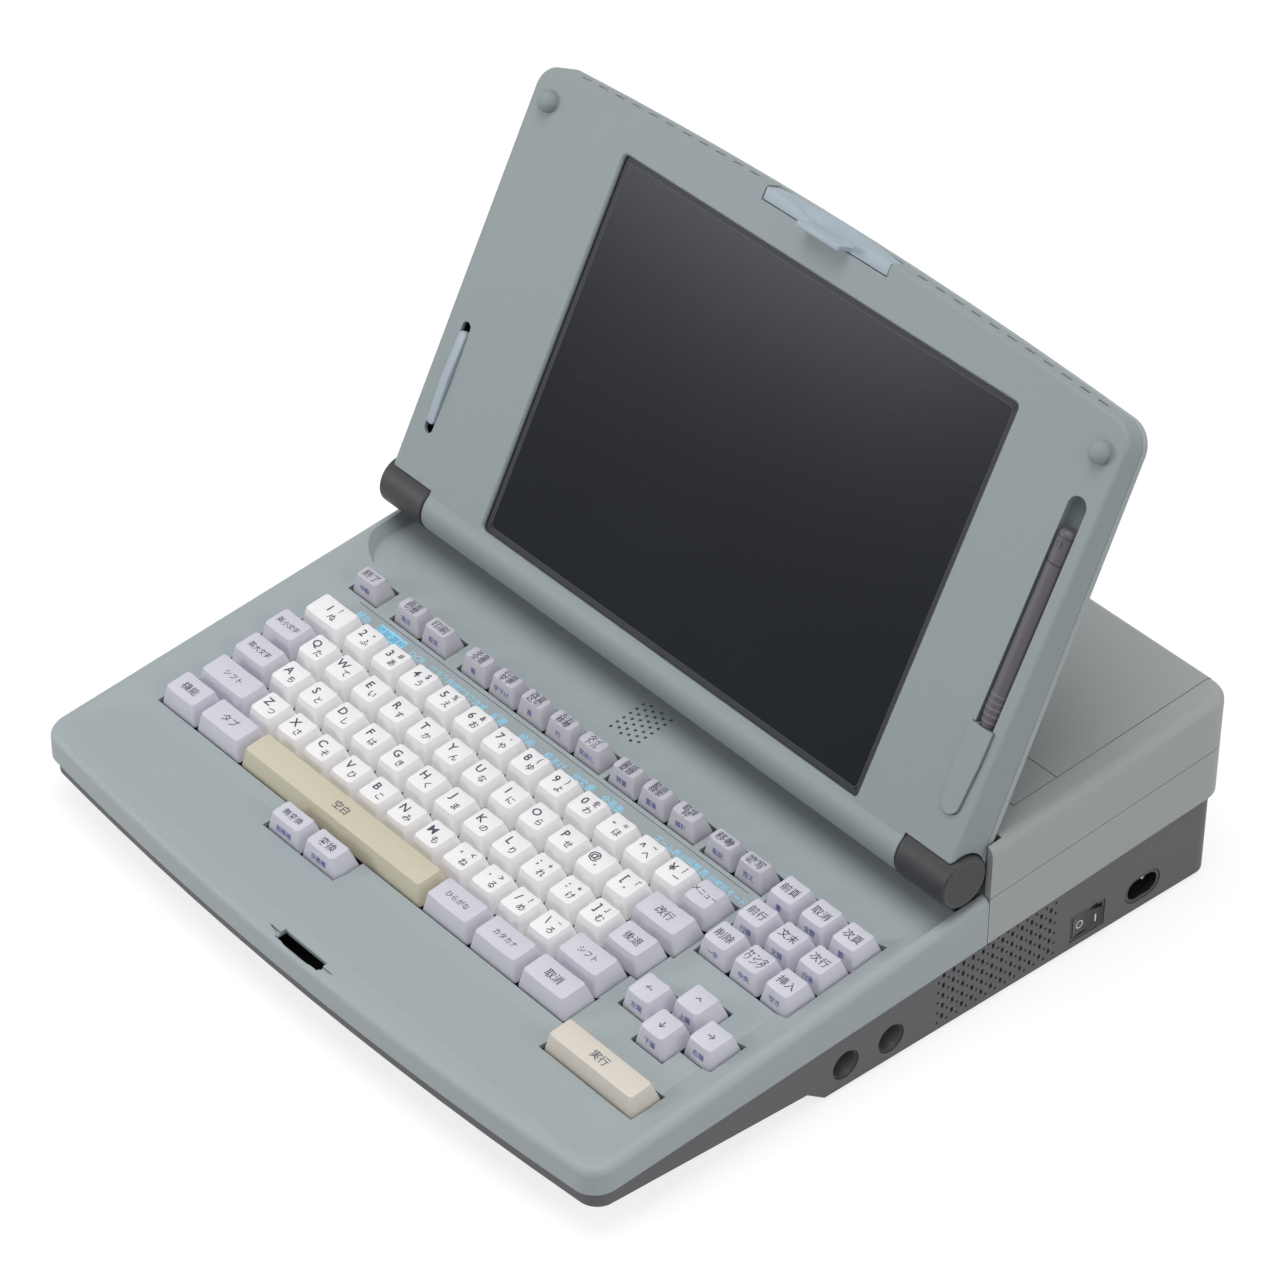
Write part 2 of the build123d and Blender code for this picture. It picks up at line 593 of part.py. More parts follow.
deck_rear = Y_FRONT + DECK_DEPTH - SEAM / 2
with BuildPart() as keyboard_deck:
    add(slab(0, deck_profile(0, deck_rear)))
    fillet(keyboard_deck.edges().filter_by(on_deck_edge), DECK_EDGE_RADIUS)
    add(key_field(0), mode=Mode.SUBTRACT)
    # Hollow underside, one wall below the top face and the field.
    hollow = slab(WALL, [
        (Y_FRONT - BEYOND, 0),
        (deck_rear - WALL, 0),
        (deck_rear - WALL, deck_z(deck_rear - WALL) - WALL / cos(radians(DECK_TILT))),
        (Y_FRONT - BEYOND, deck_z(Y_FRONT - BEYOND) - WALL / cos(radians(DECK_TILT))),
    ])
    add(hollow - key_field(WALL), mode=Mode.SUBTRACT)
    # Key holes, one rectangle round each key; neighbours run together.
    with BuildSketch(DECK.offset(1)):
        for x, v, width, depth in all_keys:
            with Locations((x, v)):
                Rectangle(width + 2 * KEY_MARGIN, depth + 2 * KEY_MARGIN)
    extrude(amount=-FIELD_LEVEL_BELOW - 2, mode=Mode.SUBTRACT)
    # Speaker holes.
    with BuildSketch(FIELD.offset(1)):
        with Locations((SPEAKER_X, SPEAKER_V)):
            with HexLocations(SPEAKER_HOLE_PITCH, SPEAKER_HOLE_ROWS, SPEAKER_HOLE_ROWS):
                Circle(SPEAKER_HOLE_RADIUS)
    extrude(amount=-WALL - 2, mode=Mode.SUBTRACT)
    # Fine groove in front of the function keys.
    with BuildSketch(FIELD.offset(1)):
        with Locations((STRIP_LINE_X, STRIP_LINE_V)):
            Rectangle(*STRIP_LINE)
    extrude(amount=-STRIP_LINE_DEPTH - 1, mode=Mode.SUBTRACT)
    # Slot for the latch hook, in a spindle-shaped groove.
    with BuildSketch(DECK.offset(1)):
        with Locations((HOOK_X, (SLOT_FRONT + SLOT_REAR) / 2)):
            Rectangle(HOOK_WIDTH + 2 * HOOK_PLAY, SLOT_REAR - SLOT_FRONT)
    extrude(amount=-WALL - 8, mode=Mode.SUBTRACT)
    fillet(keyboard_deck.edges().filter_by(on_slot_lip), SLOT_LIP)
    with BuildSketch(DECK.offset(1)):
        with BuildLine():
            ThreePointArc(
                (HOOK_X - GROOVE_HALF, GROOVE_REAR),
                (HOOK_X, SLOT_FRONT - 1),
                (HOOK_X + GROOVE_HALF, GROOVE_REAR),
            )
            Line((HOOK_X + GROOVE_HALF, GROOVE_REAR), (HOOK_X - GROOVE_HALF, GROOVE_REAR))
        make_face()
    extrude(amount=-GROOVE_DEPTH - 1, mode=Mode.SUBTRACT)
write(keyboard_deck, "keyboard_deck")

# ================================================================== keyboard
# Depths below the key field.
RIM_TOP = WALL + FIT
GUIDE_TOP = KEY_SKIRT + KEY_TRAVEL + FIT
FRAME_TOP = GUIDE_TOP + 1.2  # plate below the tops of the guides
FRAME_THICKNESS = 1.4
RIM_WIDTH = 2.4
GUIDE_BOTTOM = KEY_SKIRT + STEM_LENGTH + KEY_TRAVEL + 0.2
SHEET_THICKNESS = 1.6
PLATE_THICKNESS = 1.0
BOARD_MARGIN = 4.0
KEYS_LEFT = min(x - w / 2 for x, v, w, d in all_keys) - BOARD_MARGIN
KEYS_RIGHT = max(x + w / 2 for x, v, w, d in all_keys) + BOARD_MARGIN
KEYS_FRONT = min(v - d / 2 for x, v, w, d in all_keys) - BOARD_MARGIN
KEYS_BACK = max(v + d / 2 for x, v, w, d in all_keys) + BOARD_MARGIN
KEYS_SIZE = (KEYS_RIGHT - KEYS_LEFT, KEYS_BACK - KEYS_FRONT)
KEYS_CENTRE = ((KEYS_RIGHT + KEYS_LEFT) / 2, (KEYS_BACK + KEYS_FRONT) / 2)
stem_places = [(x, v) for x, v, w, d in all_keys]


def key_bank(keys):
    """Tapered caps with a round stem under each."""
    with BuildPart() as bank:
        for x, v, width, depth in keys:
            with BuildSketch(KEY_SEAT):
                with Locations((x, v)):
                    RectangleRounded(width, depth, KEY_CORNER)
            extrude(amount=KEY_HEIGHT, taper=KEY_TAPER)
        with BuildSketch(KEY_SEAT):
            with Locations(*[(x, v) for x, v, width, depth in keys]):
                Circle(STEM_RADIUS)
        extrude(amount=-STEM_LENGTH)
    return bank


for label, keys in KEY_BANKS.items():
    write(key_bank(keys), label)

with BuildPart() as key_frame:
    with BuildSketch(FIELD.offset(-FRAME_TOP)):
        with Locations(KEYS_CENTRE):
            Rectangle(*KEYS_SIZE)
    extrude(amount=-FRAME_THICKNESS)
    # Rim that holds the frame off the underside of the deck.
    with BuildSketch(FIELD.offset(-RIM_TOP)):
        with Locations(KEYS_CENTRE):
            Rectangle(*KEYS_SIZE)
            Rectangle(KEYS_SIZE[0] - 2 * RIM_WIDTH, KEYS_SIZE[1] - 2 * RIM_WIDTH,
                      mode=Mode.SUBTRACT)
    extrude(amount=RIM_TOP - FRAME_TOP - FRAME_THICKNESS / 2)
    with BuildSketch(FIELD.offset(-GUIDE_TOP)):
        with Locations(*stem_places):
            Circle(STEM_RADIUS + RUN + GUIDE_WALL)
    extrude(amount=GUIDE_TOP - GUIDE_BOTTOM)
    with BuildSketch(FIELD.offset(1)):
        with Locations(*stem_places):
            Circle(STEM_RADIUS + RUN)
    extrude(amount=-GUIDE_BOTTOM - 2, mode=Mode.SUBTRACT)
write(key_frame, "key_frame")

with BuildPart() as switch_board:
    with BuildSketch(FIELD.offset(-GUIDE_BOTTOM - 0.1)):
        with Locations(KEYS_CENTRE):
            Rectangle(*KEYS_SIZE)
    extrude(amount=-SHEET_THICKNESS)
write(switch_board, "switch_board")

with BuildPart() as keyboard_plate:
    with BuildSketch(FIELD.offset(-GUIDE_BOTTOM - SHEET_THICKNESS - 0.2)):
        with Locations(KEYS_CENTRE):
            Rectangle(*KEYS_SIZE)
    extrude(amount=-PLATE_THICKNESS)
write(keyboard_plate, "keyboard_plate")

SPEAKER_DEPTH = 6.0
with BuildPart() as speaker:
    with BuildSketch(DECK.offset(-FIELD_LEVEL_BELOW - 0.1)):
        with Locations((SPEAKER_X, SPEAKER_V)):
            Circle(SPEAKER_RADIUS)
    extrude(amount=-SPEAKER_DEPTH / 2)
    with BuildSketch(DECK.offset(-FIELD_LEVEL_BELOW - 0.1 - SPEAKER_DEPTH / 2)):
        with Locations((SPEAKER_X, SPEAKER_V)):
            Circle(SPEAKER_RADIUS / 2)
    extrude(amount=-SPEAKER_DEPTH / 2)
write(speaker, "speaker")

# ============================================================== rear housing
band_front = Y_FRONT + DECK_DEPTH + SEAM / 2
cover_front = Y_FRONT + DECK_DEPTH + FRONT_WALL_BACK
PAPER_HALF = HALF_WIDTH - 13.5
PAPER_FRONT = 266.5 * DEEPER  # front edge of the paper cover
STRIP_FRONT = 241.0 * DEEPER  # front edge of the strip before it
PAPER_ROLL = 4.5            # rounded rear end of the paper cover


def band_profile(front, rear, lower, below):
    """Side profile of the rear band."""
    return [
        (front, split_z(front) + below),
        (rear, split_z(rear) + below),
        (rear, band_z(rear) - lower),
        (front, band_z(front) - lower),
    ]


with BuildPart() as rear_band:
    add(slab(0, band_profile(band_front, Y_REAR + BEYOND, SEAM / 2, SEAM / 2)))
    add(
        slab(WALL, band_profile(band_front + WALL, Y_REAR + BEYOND, WALL + SEAM / 2, -BEYOND)),
        mode=Mode.SUBTRACT,
    )
    add(
        slab(WALL, band_profile(cover_front + WALL, Y_REAR + BEYOND, -BEYOND, 5)),
        mode=Mode.SUBTRACT,
    )
write(rear_band, "rear_band")


def cover_profile(front, rear, lower, below):
    """Side profile of the rear cover."""
    return [
        (front, band_z(front) + below),
        (rear, band_z(rear) + below),
        (rear, housing_z(rear) - lower),
        (front, housing_z(front) - lower),
    ]


def on_housing_edge(edge):
    """True for the side and rear edges of the housing's top face."""
    middle = edge.center()
    on_top = abs(middle.Z - housing_z(middle.Y)) < 0.05
    return on_top and middle.Y > band_front + 1


def top_zone(half, front, rear, depth):
    """Block under the housing's top face, used to cut or to keep a panel."""
    with BuildPart() as zone:
        with BuildSketch(Plane.YZ):
            with BuildLine():
                Polyline(
                    (Y_FRONT + front, housing_z(Y_FRONT + front) + 5),
                    (Y_FRONT + front, housing_z(Y_FRONT + front) - depth),
                    (rear, housing_z(rear) - depth),
                    (rear, housing_z(rear) + 5),
                    close=True,
                )
            make_face()
        extrude(amount=half, both=True)
    return zone.part


PAPER_AXIS_Y = Y_REAR - PAPER_ROLL
PAPER_AXIS_Z = housing_z(PAPER_AXIS_Y) - PAPER_ROLL
PAPER_PIN_RADIUS = 1.5
PAPER_PIN_LENGTH = 4.0
PAPER_BOSS_LENGTH = 4.6
PAPER_BOSS_RADIUS = PAPER_ROLL - 1.2

with BuildPart() as rear_cover:
    add(slab(0, cover_profile(band_front, Y_REAR + BEYOND, 0, SEAM / 2)))
    fillet(rear_cover.edges().filter_by(on_housing_edge), HOUSING_EDGE_RADIUS)
    # The front wall stands back behind the display, between two cheeks.
    with BuildSketch(Plane.XY.offset(BAND_FRONT_Z - BEYOND)):
        with Locations((0, cover_front - BEYOND)):
            Rectangle(2 * (HALF_WIDTH - CHEEK), 2 * BEYOND)
    extrude(amount=4 * BEYOND, mode=Mode.SUBTRACT)
    add(
        slab(CHEEK, cover_profile(cover_front + WALL, Y_REAR + BEYOND, WALL, -BEYOND)),
        mode=Mode.SUBTRACT,
    )
    # Opening for the strip and the paper cover, and slot at the rear edge.
    add(top_zone(PAPER_HALF, STRIP_FRONT, Y_REAR - 2 * PAPER_ROLL - FIT, WALL + 1), mode=Mode.SUBTRACT)
    with Locations((0, PAPER_AXIS_Y, PAPER_AXIS_Z)):
        Cylinder(PAPER_ROLL + FIT, 2 * PAPER_HALF, rotation=(0, 90, 0), mode=Mode.SUBTRACT)
    with Locations((0, PAPER_AXIS_Y + PAPER_ROLL / 2, PAPER_AXIS_Z + PAPER_ROLL / 2)):
        Box(2 * PAPER_HALF, PAPER_ROLL * 2.2, PAPER_ROLL, mode=Mode.SUBTRACT)
    with Locations((0, PAPER_AXIS_Y, PAPER_AXIS_Z + PAPER_ROLL)):
        Box(2 * PAPER_HALF, 2 * PAPER_ROLL + 2 * FIT, 2 * PAPER_ROLL, mode=Mode.SUBTRACT)
    # Bosses with the bores that hold the pins of the paper cover.
    for side in (-1, 1):
        boss_x = side * (PAPER_HALF + PAPER_BOSS_LENGTH / 2)
        with Locations((boss_x, PAPER_AXIS_Y, PAPER_AXIS_Z)):
            Cylinder(PAPER_BOSS_RADIUS, PAPER_BOSS_LENGTH, rotation=(0, 90, 0))
            Cylinder(PAPER_PIN_RADIUS + RUN, PAPER_BOSS_LENGTH, rotation=(0, 90, 0),
                     mode=Mode.SUBTRACT)
write(rear_cover, "rear_cover")

# Everything above the housing's top face, used to trim its panels.
with BuildPart() as above_housing:
    with BuildSketch(Plane.YZ):
        with BuildLine():
            Polyline(
                (Y_FRONT, housing_z(Y_FRONT)),
                (Y_REAR, housing_z(Y_REAR)),
                (Y_REAR, housing_z(Y_REAR) + 2 * BEYOND),
                (Y_FRONT, housing_z(Y_FRONT) + 2 * BEYOND),
                close=True,
            )
        make_face()
    extrude(amount=CASE_WIDTH, both=True)

with BuildPart() as printer_strip:
    add(top_zone(PAPER_HALF - SEAM, STRIP_FRONT + SEAM, Y_FRONT + PAPER_FRONT - SEAM, WALL))
    add(above_housing.part, mode=Mode.SUBTRACT)
write(printer_strip, "printer_strip")

with BuildPart() as paper_cover:
    add(top_zone(PAPER_HALF - SEAM, PAPER_FRONT, PAPER_AXIS_Y, WALL))
    add(above_housing.part, mode=Mode.SUBTRACT)
    with Locations((0, PAPER_AXIS_Y, PAPER_AXIS_Z)):
        Cylinder(PAPER_ROLL, 2 * (PAPER_HALF - SEAM), rotation=(0, 90, 0))
        Cylinder(PAPER_PIN_RADIUS, 2 * (PAPER_HALF + PAPER_PIN_LENGTH), rotation=(0, 90, 0))
write(paper_cover, "paper_cover")

# ============================================================= hinge covers
BARREL_EDGE = 0.8
NECK_DEPTH = 11.0
NECK_INNER_X = BARREL_INNER_X + 2 * BARREL_EDGE
NECK_OUTER_X = COVE_HALF - COVE_SLOPE - SEAM


def hinge_cover(side):
    """Fixed barrel at one end of the display hinge, on a neck behind it."""
    length = BARREL_OUTER_X - BARREL_INNER_X
    middle = side * (BARREL_OUTER_X + BARREL_INNER_X) / 2
    with BuildPart() as cover:
        with Locations((middle, HINGE_Y, HINGE_Z)):
            Cylinder(BARREL_RADIUS, length, rotation=(0, 90, 0))
        chamfer(cover.faces().filter_by(Axis.X).edges(), BARREL_EDGE)
        with BuildSketch(FIELD):
            with Locations((side * (NECK_INNER_X + NECK_OUTER_X) / 2, HINGE_V + NECK_DEPTH / 2)):
                Rectangle(NECK_OUTER_X - NECK_INNER_X, NECK_DEPTH)
        extrude(amount=HINGE_RISE + FIELD_DEPTH)
        with Locations((middle - side * BARREL_EDGE * 2, HINGE_Y, HINGE_Z)):
            Cylinder(PIN_RADIUS + RUN, length, rotation=(0, 90, 0), mode=Mode.SUBTRACT)
    return cover


write(hinge_cover(-1), "hinge_cover_left")
write(hinge_cover(1), "hinge_cover_right")

# =================================================================== display
BACK_SLOPE = (BEZEL_FACE - TOP_THICKNESS + ROLL_RADIUS) / DISPLAY_TOP
ROLL_HALF = BARREL_INNER_X - SEAM
SIDE_BOTTOM = BARREL_RADIUS + 0.7  # radius of the notch round a barrel
SIDE_CORNER = sqrt(SIDE_BOTTOM ** 2 - BEZEL_FACE ** 2)  # the notch meets the face
DISPLAY_APEX = DISPLAY_TOP + DISPLAY_BOW


def back_n(s):
    """Back surface of the display, measured forward from the hinge axis."""
    return -ROLL_RADIUS + BACK_SLOPE * s


def display_form(inset):
    """Outer form of the display, moved inwards by inset."""
    half = DISPLAY_HALF - inset
    top = DISPLAY_TOP - inset
    above = DISPLAY_APEX + BEYOND
    with BuildPart() as form:
        with BuildSketch(PANEL.offset(-BEYOND)):
            with BuildLine():
                ThreePointArc((-half, top), (0, top + DISPLAY_BOW), (half, top))
                Polyline((half, top), (half, SIDE_CORNER + inset),
                         (-half, SIDE_CORNER + inset), (-half, top))
            make_face()
            with Locations((0, SIDE_BOTTOM / 2 - BEYOND / 2)):
                Rectangle(2 * (ROLL_HALF - inset), SIDE_BOTTOM + BEYOND + 4 * inset)
        extrude(amount=2 * BEYOND)
        with BuildSketch(PANEL_SIDE):
            Circle(ROLL_RADIUS - inset)
            with BuildLine():
                Polyline(
                    (0, back_n(0) + inset),
                    (above, back_n(above) + inset),
                    (above, BEZEL_FACE - inset),
                    (0, BEZEL_FACE - inset),
                    close=True,
                )
            make_face()
        extrude(amount=CASE_WIDTH, both=True, mode=Mode.INTERSECT)
        # Round notches for the barrels of the hinge.
        for side in (-1, 1):
            with BuildSketch(PANEL_SIDE.offset(side * (ROLL_HALF - inset))):
                Circle(SIDE_BOTTOM + inset)
            extrude(amount=side * CASE_WIDTH / 2, mode=Mode.SUBTRACT)
        upright = form.edges().filter_by(
            lambda e: e.length > 5 and PANEL.to_local_coords(e.center()).Y > DISPLAY_TOP - 20
            and abs(PANEL.to_local_coords(e.center()).X) > half - 1
            and abs(e.tangent_at(0.5).dot(PANEL.z_dir)) > 0.9
        )
        fillet(upright, DISPLAY_CORNER - inset)
        if inset == 0:
            rim = form.edges().filter_by(
                lambda e: abs(PANEL.to_local_coords(e.center()).Z - BEZEL_FACE) < 0.01
                and PANEL.to_local_coords(e.center()).Y > SIDE_BOTTOM + 1
            )
            fillet(rim, DISPLAY_RIM)
    return form.part


def top_edge_s(x):
    """Height of the bowed top edge above the hinge axis."""
    return DISPLAY_TOP + DISPLAY_BOW * (1 - (x / DISPLAY_HALF) ** 2)


def behind_seam(gap):
    """Everything behind the seam between bezel and back cover."""
    with BuildPart() as zone:
        with BuildSketch(PANEL_SIDE):
            with BuildLine():
                Polyline(
                    (-2 * BEYOND, back_n(-2 * BEYOND) + BACK_LIP + gap),
                    (DISPLAY_APEX + BEYOND, back_n(DISPLAY_APEX + BEYOND) + BACK_LIP + gap),
                    (DISPLAY_APEX + BEYOND, -3 * BEYOND),
                    (-2 * BEYOND, -3 * BEYOND),
                    close=True,
                )
            make_face()
        extrude(amount=CASE_WIDTH, both=True)
    return zone.part


# The pen lies in a channel on the right, its point in a sleeve.
PEN_X = DISPLAY_HALF - 11.95
PEN_RADIUS = 4.75
PEN_BOTTOM = 40.0
PEN_TOP = DISPLAY_TOP - 50.0
PEN_CONE = 34.0             # length of the tapered end
PEN_TIP_RADIUS = 1.0
PEN_TRAVEL = 12.0
PEN_PROUD = 1.4             # pen above the bezel face
PEN_N = BEZEL_FACE + PEN_PROUD - PEN_RADIUS
CHANNEL_TOP = PEN_TOP + PEN_TRAVEL + 2.5
CHANNEL_RADIUS = PEN_RADIUS + FIT
CHANNEL_WALL = 1.6
SLEEVE_TOP = 66.0
SLEEVE_BOTTOM = 26.0
SLEEVE_HALF = CHANNEL_RADIUS + 1.1
SLEEVE_TIP = 4.9            # radius of the sleeve's lower end
SLEEVE_STRAIGHT = 14.0      # length over which the sleeve isn't tapered
SLEEVE_FLOOR = BEZEL_FACE - 8.4
SLEEVE_GAP = 0.3            # dark line around the sleeve
SLEEVE_SEAT = 0.1
# The brightness slider runs in a slot on the left.
SLIDER_X = 12.75 - DISPLAY_HALF
SLIDER_SLOT_WIDTH = 5.4
SLIDER_SLOT_BOTTOM = 29.6
SLIDER_SLOT_TOP = 84.9
SLIDER_LENGTH = 46.0
SLIDER_PROUD = 2.0          # slider above the bezel face
SLIDER_FLANGE = 1.5
# The latch sits in the middle of the top edge.
LATCH_LEFT = -39.0
LATCH_RIGHT = 38.0
LATCH_DEPTH = 8.0
LATCH_TOP = DISPLAY_TOP + 5.2
LATCH_BLOCK_WALL = 2.0
HOOK_REACH = 9.0
BUMPER_X = DISPLAY_HALF - 11.45
BUMPER_S = DISPLAY_TOP - 15.0
BUMPER_RADIUS = 5.0
BUMPER_RISE = 5.6
latch_middle = (LATCH_LEFT + LATCH_RIGHT) / 2
latch_width = LATCH_RIGHT - LATCH_LEFT
slider_middle = (SLIDER_SLOT_BOTTOM + SLIDER_SLOT_TOP) / 2
window_middle = (WINDOW_X, WINDOW_BOTTOM + WINDOW_HEIGHT / 2)
pen_plane = Plane(
    origin=PANEL.offset(PEN_N).origin + PANEL.x_dir * PEN_X,
    x_dir=(1, 0, 0),
    z_dir=PANEL.y_dir,
)



def sleeve_block(grow, floor, top):
    """Tapered block between two depths below or above the bezel face."""
    with BuildPart() as block:
        with BuildSketch(PANEL.offset(floor)):
            with Locations((PEN_X, SLEEVE_BOTTOM + SLEEVE_TIP)):
                Circle(SLEEVE_TIP + grow)
            with Locations((PEN_X, SLEEVE_TOP - SLEEVE_STRAIGHT / 2)):
                Rectangle(2 * (SLEEVE_HALF + grow), SLEEVE_STRAIGHT + 2 * grow)
            make_hull()
        extrude(amount=top - floor)
    return block.part


outer_form = display_form(0)
inner_form = display_form(BEZEL_WALL)

with BuildPart() as display_bezel:
    add(outer_form)
    add(behind_seam(PANEL_SEAM), mode=Mode.SUBTRACT)
    add(inner_form, mode=Mode.SUBTRACT)
    # Solid blocks behind the pen channel and the latch pocket.
    with BuildSketch(PANEL.offset(BEZEL_FACE - BEZEL_WALL / 2)):
        with Locations((PEN_X, (SLEEVE_BOTTOM + CHANNEL_TOP) / 2)):
            Rectangle(2 * (SLEEVE_HALF + CHANNEL_WALL),
                      CHANNEL_TOP - SLEEVE_BOTTOM + 2 * CHANNEL_WALL)
    extrude(amount=SLEEVE_FLOOR - BEZEL_FACE)
    with BuildSketch(PANEL.offset(BEZEL_FACE - BEZEL_WALL / 2)):
        with Locations((latch_middle, (LATCH_BOTTOM + DISPLAY_APEX - BEZEL_WALL) / 2 - 1)):
            Rectangle(latch_width + 2 * LATCH_BLOCK_WALL, DISPLAY_APEX - LATCH_BOTTOM)
    extrude(amount=-LATCH_DEPTH - 0.6)
    add(behind_seam(PANEL_SEAM), mode=Mode.SUBTRACT)
    # Window, with a bevelled edge.
    with BuildSketch(PANEL.offset(BEZEL_FACE - BEZEL_WALL - 1)):
        with Locations(window_middle):
            RectangleRounded(WINDOW_WIDTH, WINDOW_HEIGHT, WINDOW_CORNER)
    extrude(amount=BEZEL_WALL + 2, mode=Mode.SUBTRACT)
    for level, wider in ((BEZEL_FACE - WINDOW_BEVEL, 0), (BEZEL_FACE, WINDOW_BEVEL)):
        with BuildSketch(PANEL.offset(level)):
            with Locations(window_middle):
                RectangleRounded(WINDOW_WIDTH + 2 * wider, WINDOW_HEIGHT + 2 * wider,
                                 WINDOW_CORNER + wider)
    loft(mode=Mode.SUBTRACT)
    # Bores that hold the hinge pins in the ends of the roll.
    with Locations((0, HINGE_Y, HINGE_Z)):
        Cylinder(PIN_RADIUS, CASE_WIDTH, rotation=(0, 90, 0), mode=Mode.SUBTRACT)
    # Pen channel with a rounded top end, and the pocket of the sleeve.
    with BuildSketch(pen_plane.offset(SLEEVE_TOP)):
        Circle(CHANNEL_RADIUS)
        with Locations((0, -BEYOND / 2)):
            Rectangle(2 * CHANNEL_RADIUS, BEYOND)
    extrude(amount=CHANNEL_TOP - CHANNEL_RADIUS - SLEEVE_TOP, mode=Mode.SUBTRACT)
    with BuildSketch(PANEL.offset(PEN_N)):
        with Locations((PEN_X, CHANNEL_TOP - CHANNEL_RADIUS)):
            Circle(CHANNEL_RADIUS)
    extrude(amount=BEYOND, mode=Mode.SUBTRACT)
    with Locations(pen_plane.offset(CHANNEL_TOP - CHANNEL_RADIUS).origin):
        Sphere(CHANNEL_RADIUS, mode=Mode.SUBTRACT)
    add(sleeve_block(SLEEVE_GAP, SLEEVE_FLOOR, BEZEL_FACE + BEYOND), mode=Mode.SUBTRACT)
    # Slot of the slider.
    with BuildSketch(PANEL.offset(BEZEL_FACE + 1)):
        with Locations((SLIDER_X, slider_middle)):
            SlotOverall(SLIDER_SLOT_TOP - SLIDER_SLOT_BOTTOM, SLIDER_SLOT_WIDTH, rotation=90)
    extrude(amount=-BEZEL_WALL - 2, mode=Mode.SUBTRACT)
    # Latch pocket, open to the front and the top.
    with BuildSketch(PANEL.offset(BEZEL_FACE + 1)):
        with Locations((latch_middle, LATCH_BOTTOM + BEYOND / 2)):
            Rectangle(latch_width + 2 * SEAM, BEYOND)
    extrude(amount=-LATCH_DEPTH - 1 - FIT, mode=Mode.SUBTRACT)
    # Small vent slots along the top edge, on both sides of the latch.
    slot_x = [side * (TOP_SLOT_START + place * TOP_SLOT_PITCH)
              for side in (-1, 1) for place in range(TOP_SLOTS)]
    with Locations(PANEL.location):
        with Locations(*[(x, top_edge_s(x), TOP_SLOT_N) for x in slot_x]):
            Box(*TOP_SLOT, mode=Mode.SUBTRACT)
write(display_bezel, "display_bezel")

with BuildPart() as display_back:
    add(outer_form)
    add(behind_seam(0), mode=Mode.INTERSECT)
    add(inner_form, mode=Mode.SUBTRACT)
write(display_back, "display_back")

GLASS_THICKNESS = 1.1
GLASS_MARGIN = 2.0
LCD_THICKNESS = 6.0
LCD_SIDE = 7.0
LCD_TOP = WINDOW_BOTTOM + WINDOW_HEIGHT + 4.3
LCD_BOTTOM = WINDOW_BOTTOM - 3.0
with BuildPart() as lcd_glass:
    with BuildSketch(PANEL.offset(BEZEL_FACE - BEZEL_WALL - 0.1)):
        with Locations(window_middle):
            Rectangle(WINDOW_WIDTH + 2 * GLASS_MARGIN, WINDOW_HEIGHT + 2 * GLASS_MARGIN)
    extrude(amount=-GLASS_THICKNESS)
write(lcd_glass, "lcd_glass")

LCD_FRONT = BEZEL_FACE - BEZEL_WALL - 0.1 - GLASS_THICKNESS - 0.1
with BuildPart() as lcd_panel:
    with BuildSketch(PANEL.offset(LCD_FRONT)):
        with Locations((WINDOW_X, (LCD_TOP + LCD_BOTTOM) / 2)):
            Rectangle(WINDOW_WIDTH + 2 * LCD_SIDE, LCD_TOP - LCD_BOTTOM)
    extrude(amount=-LCD_THICKNESS)
write(lcd_panel, "lcd_panel")

# The inverter stands between the screen and the pen channel.
INVERTER_X = PEN_X - 25.3
INVERTER_S = WINDOW_BOTTOM + 0.48 * WINDOW_HEIGHT
INVERTER_SIZE = (20.0, 0.6 * WINDOW_HEIGHT)
INVERTER_COIL = (12.0, 18.0, 5.0)
with BuildPart() as inverter_board:
    with BuildSketch(PANEL.offset(BEZEL_FACE - BEZEL_WALL - 0.2)):
        with Locations((INVERTER_X, INVERTER_S)):
            Rectangle(*INVERTER_SIZE)
    extrude(amount=-BOARD_THICKNESS)
    with BuildSketch(PANEL.offset(BEZEL_FACE - BEZEL_WALL - 0.2 - BOARD_THICKNESS)):
        with Locations((INVERTER_X, INVERTER_S)):
            with GridLocations(0, INVERTER_SIZE[1] / 2, 1, 2):
                Rectangle(INVERTER_COIL[0], INVERTER_COIL[1])
    extrude(amount=-INVERTER_COIL[2])
write(inverter_board, "inverter_board")

PIN_INSIDE = 9.0            # pin length held in the display
with BuildPart() as hinge_pins:
    for side in (-1, 1):
        start = ROLL_HALF - BEZEL_WALL - PIN_INSIDE
        end = BARREL_OUTER_X - 4 * BARREL_EDGE
        with Locations((side * (start + end) / 2, HINGE_Y, HINGE_Z)):
            Cylinder(PIN_RADIUS, end - start, rotation=(0, 90, 0))
write(hinge_pins, "hinge_pins")

with BuildPart() as lid_bumpers:
    for side in (-1, 1):
        with BuildSketch(PANEL.offset(BEZEL_FACE)):
            with Locations((side * BUMPER_X, BUMPER_S)):
                Circle(BUMPER_RADIUS)
        extrude(amount=BUMPER_RISE)
    tips = lid_bumpers.edges().filter_by(
        lambda e: PANEL.to_local_coords(e.center()).Z > BEZEL_FACE + BUMPER_RISE - 0.01
    )
    fillet(tips, BUMPER_RADIUS - 0.6)
write(lid_bumpers, "lid_bumpers")

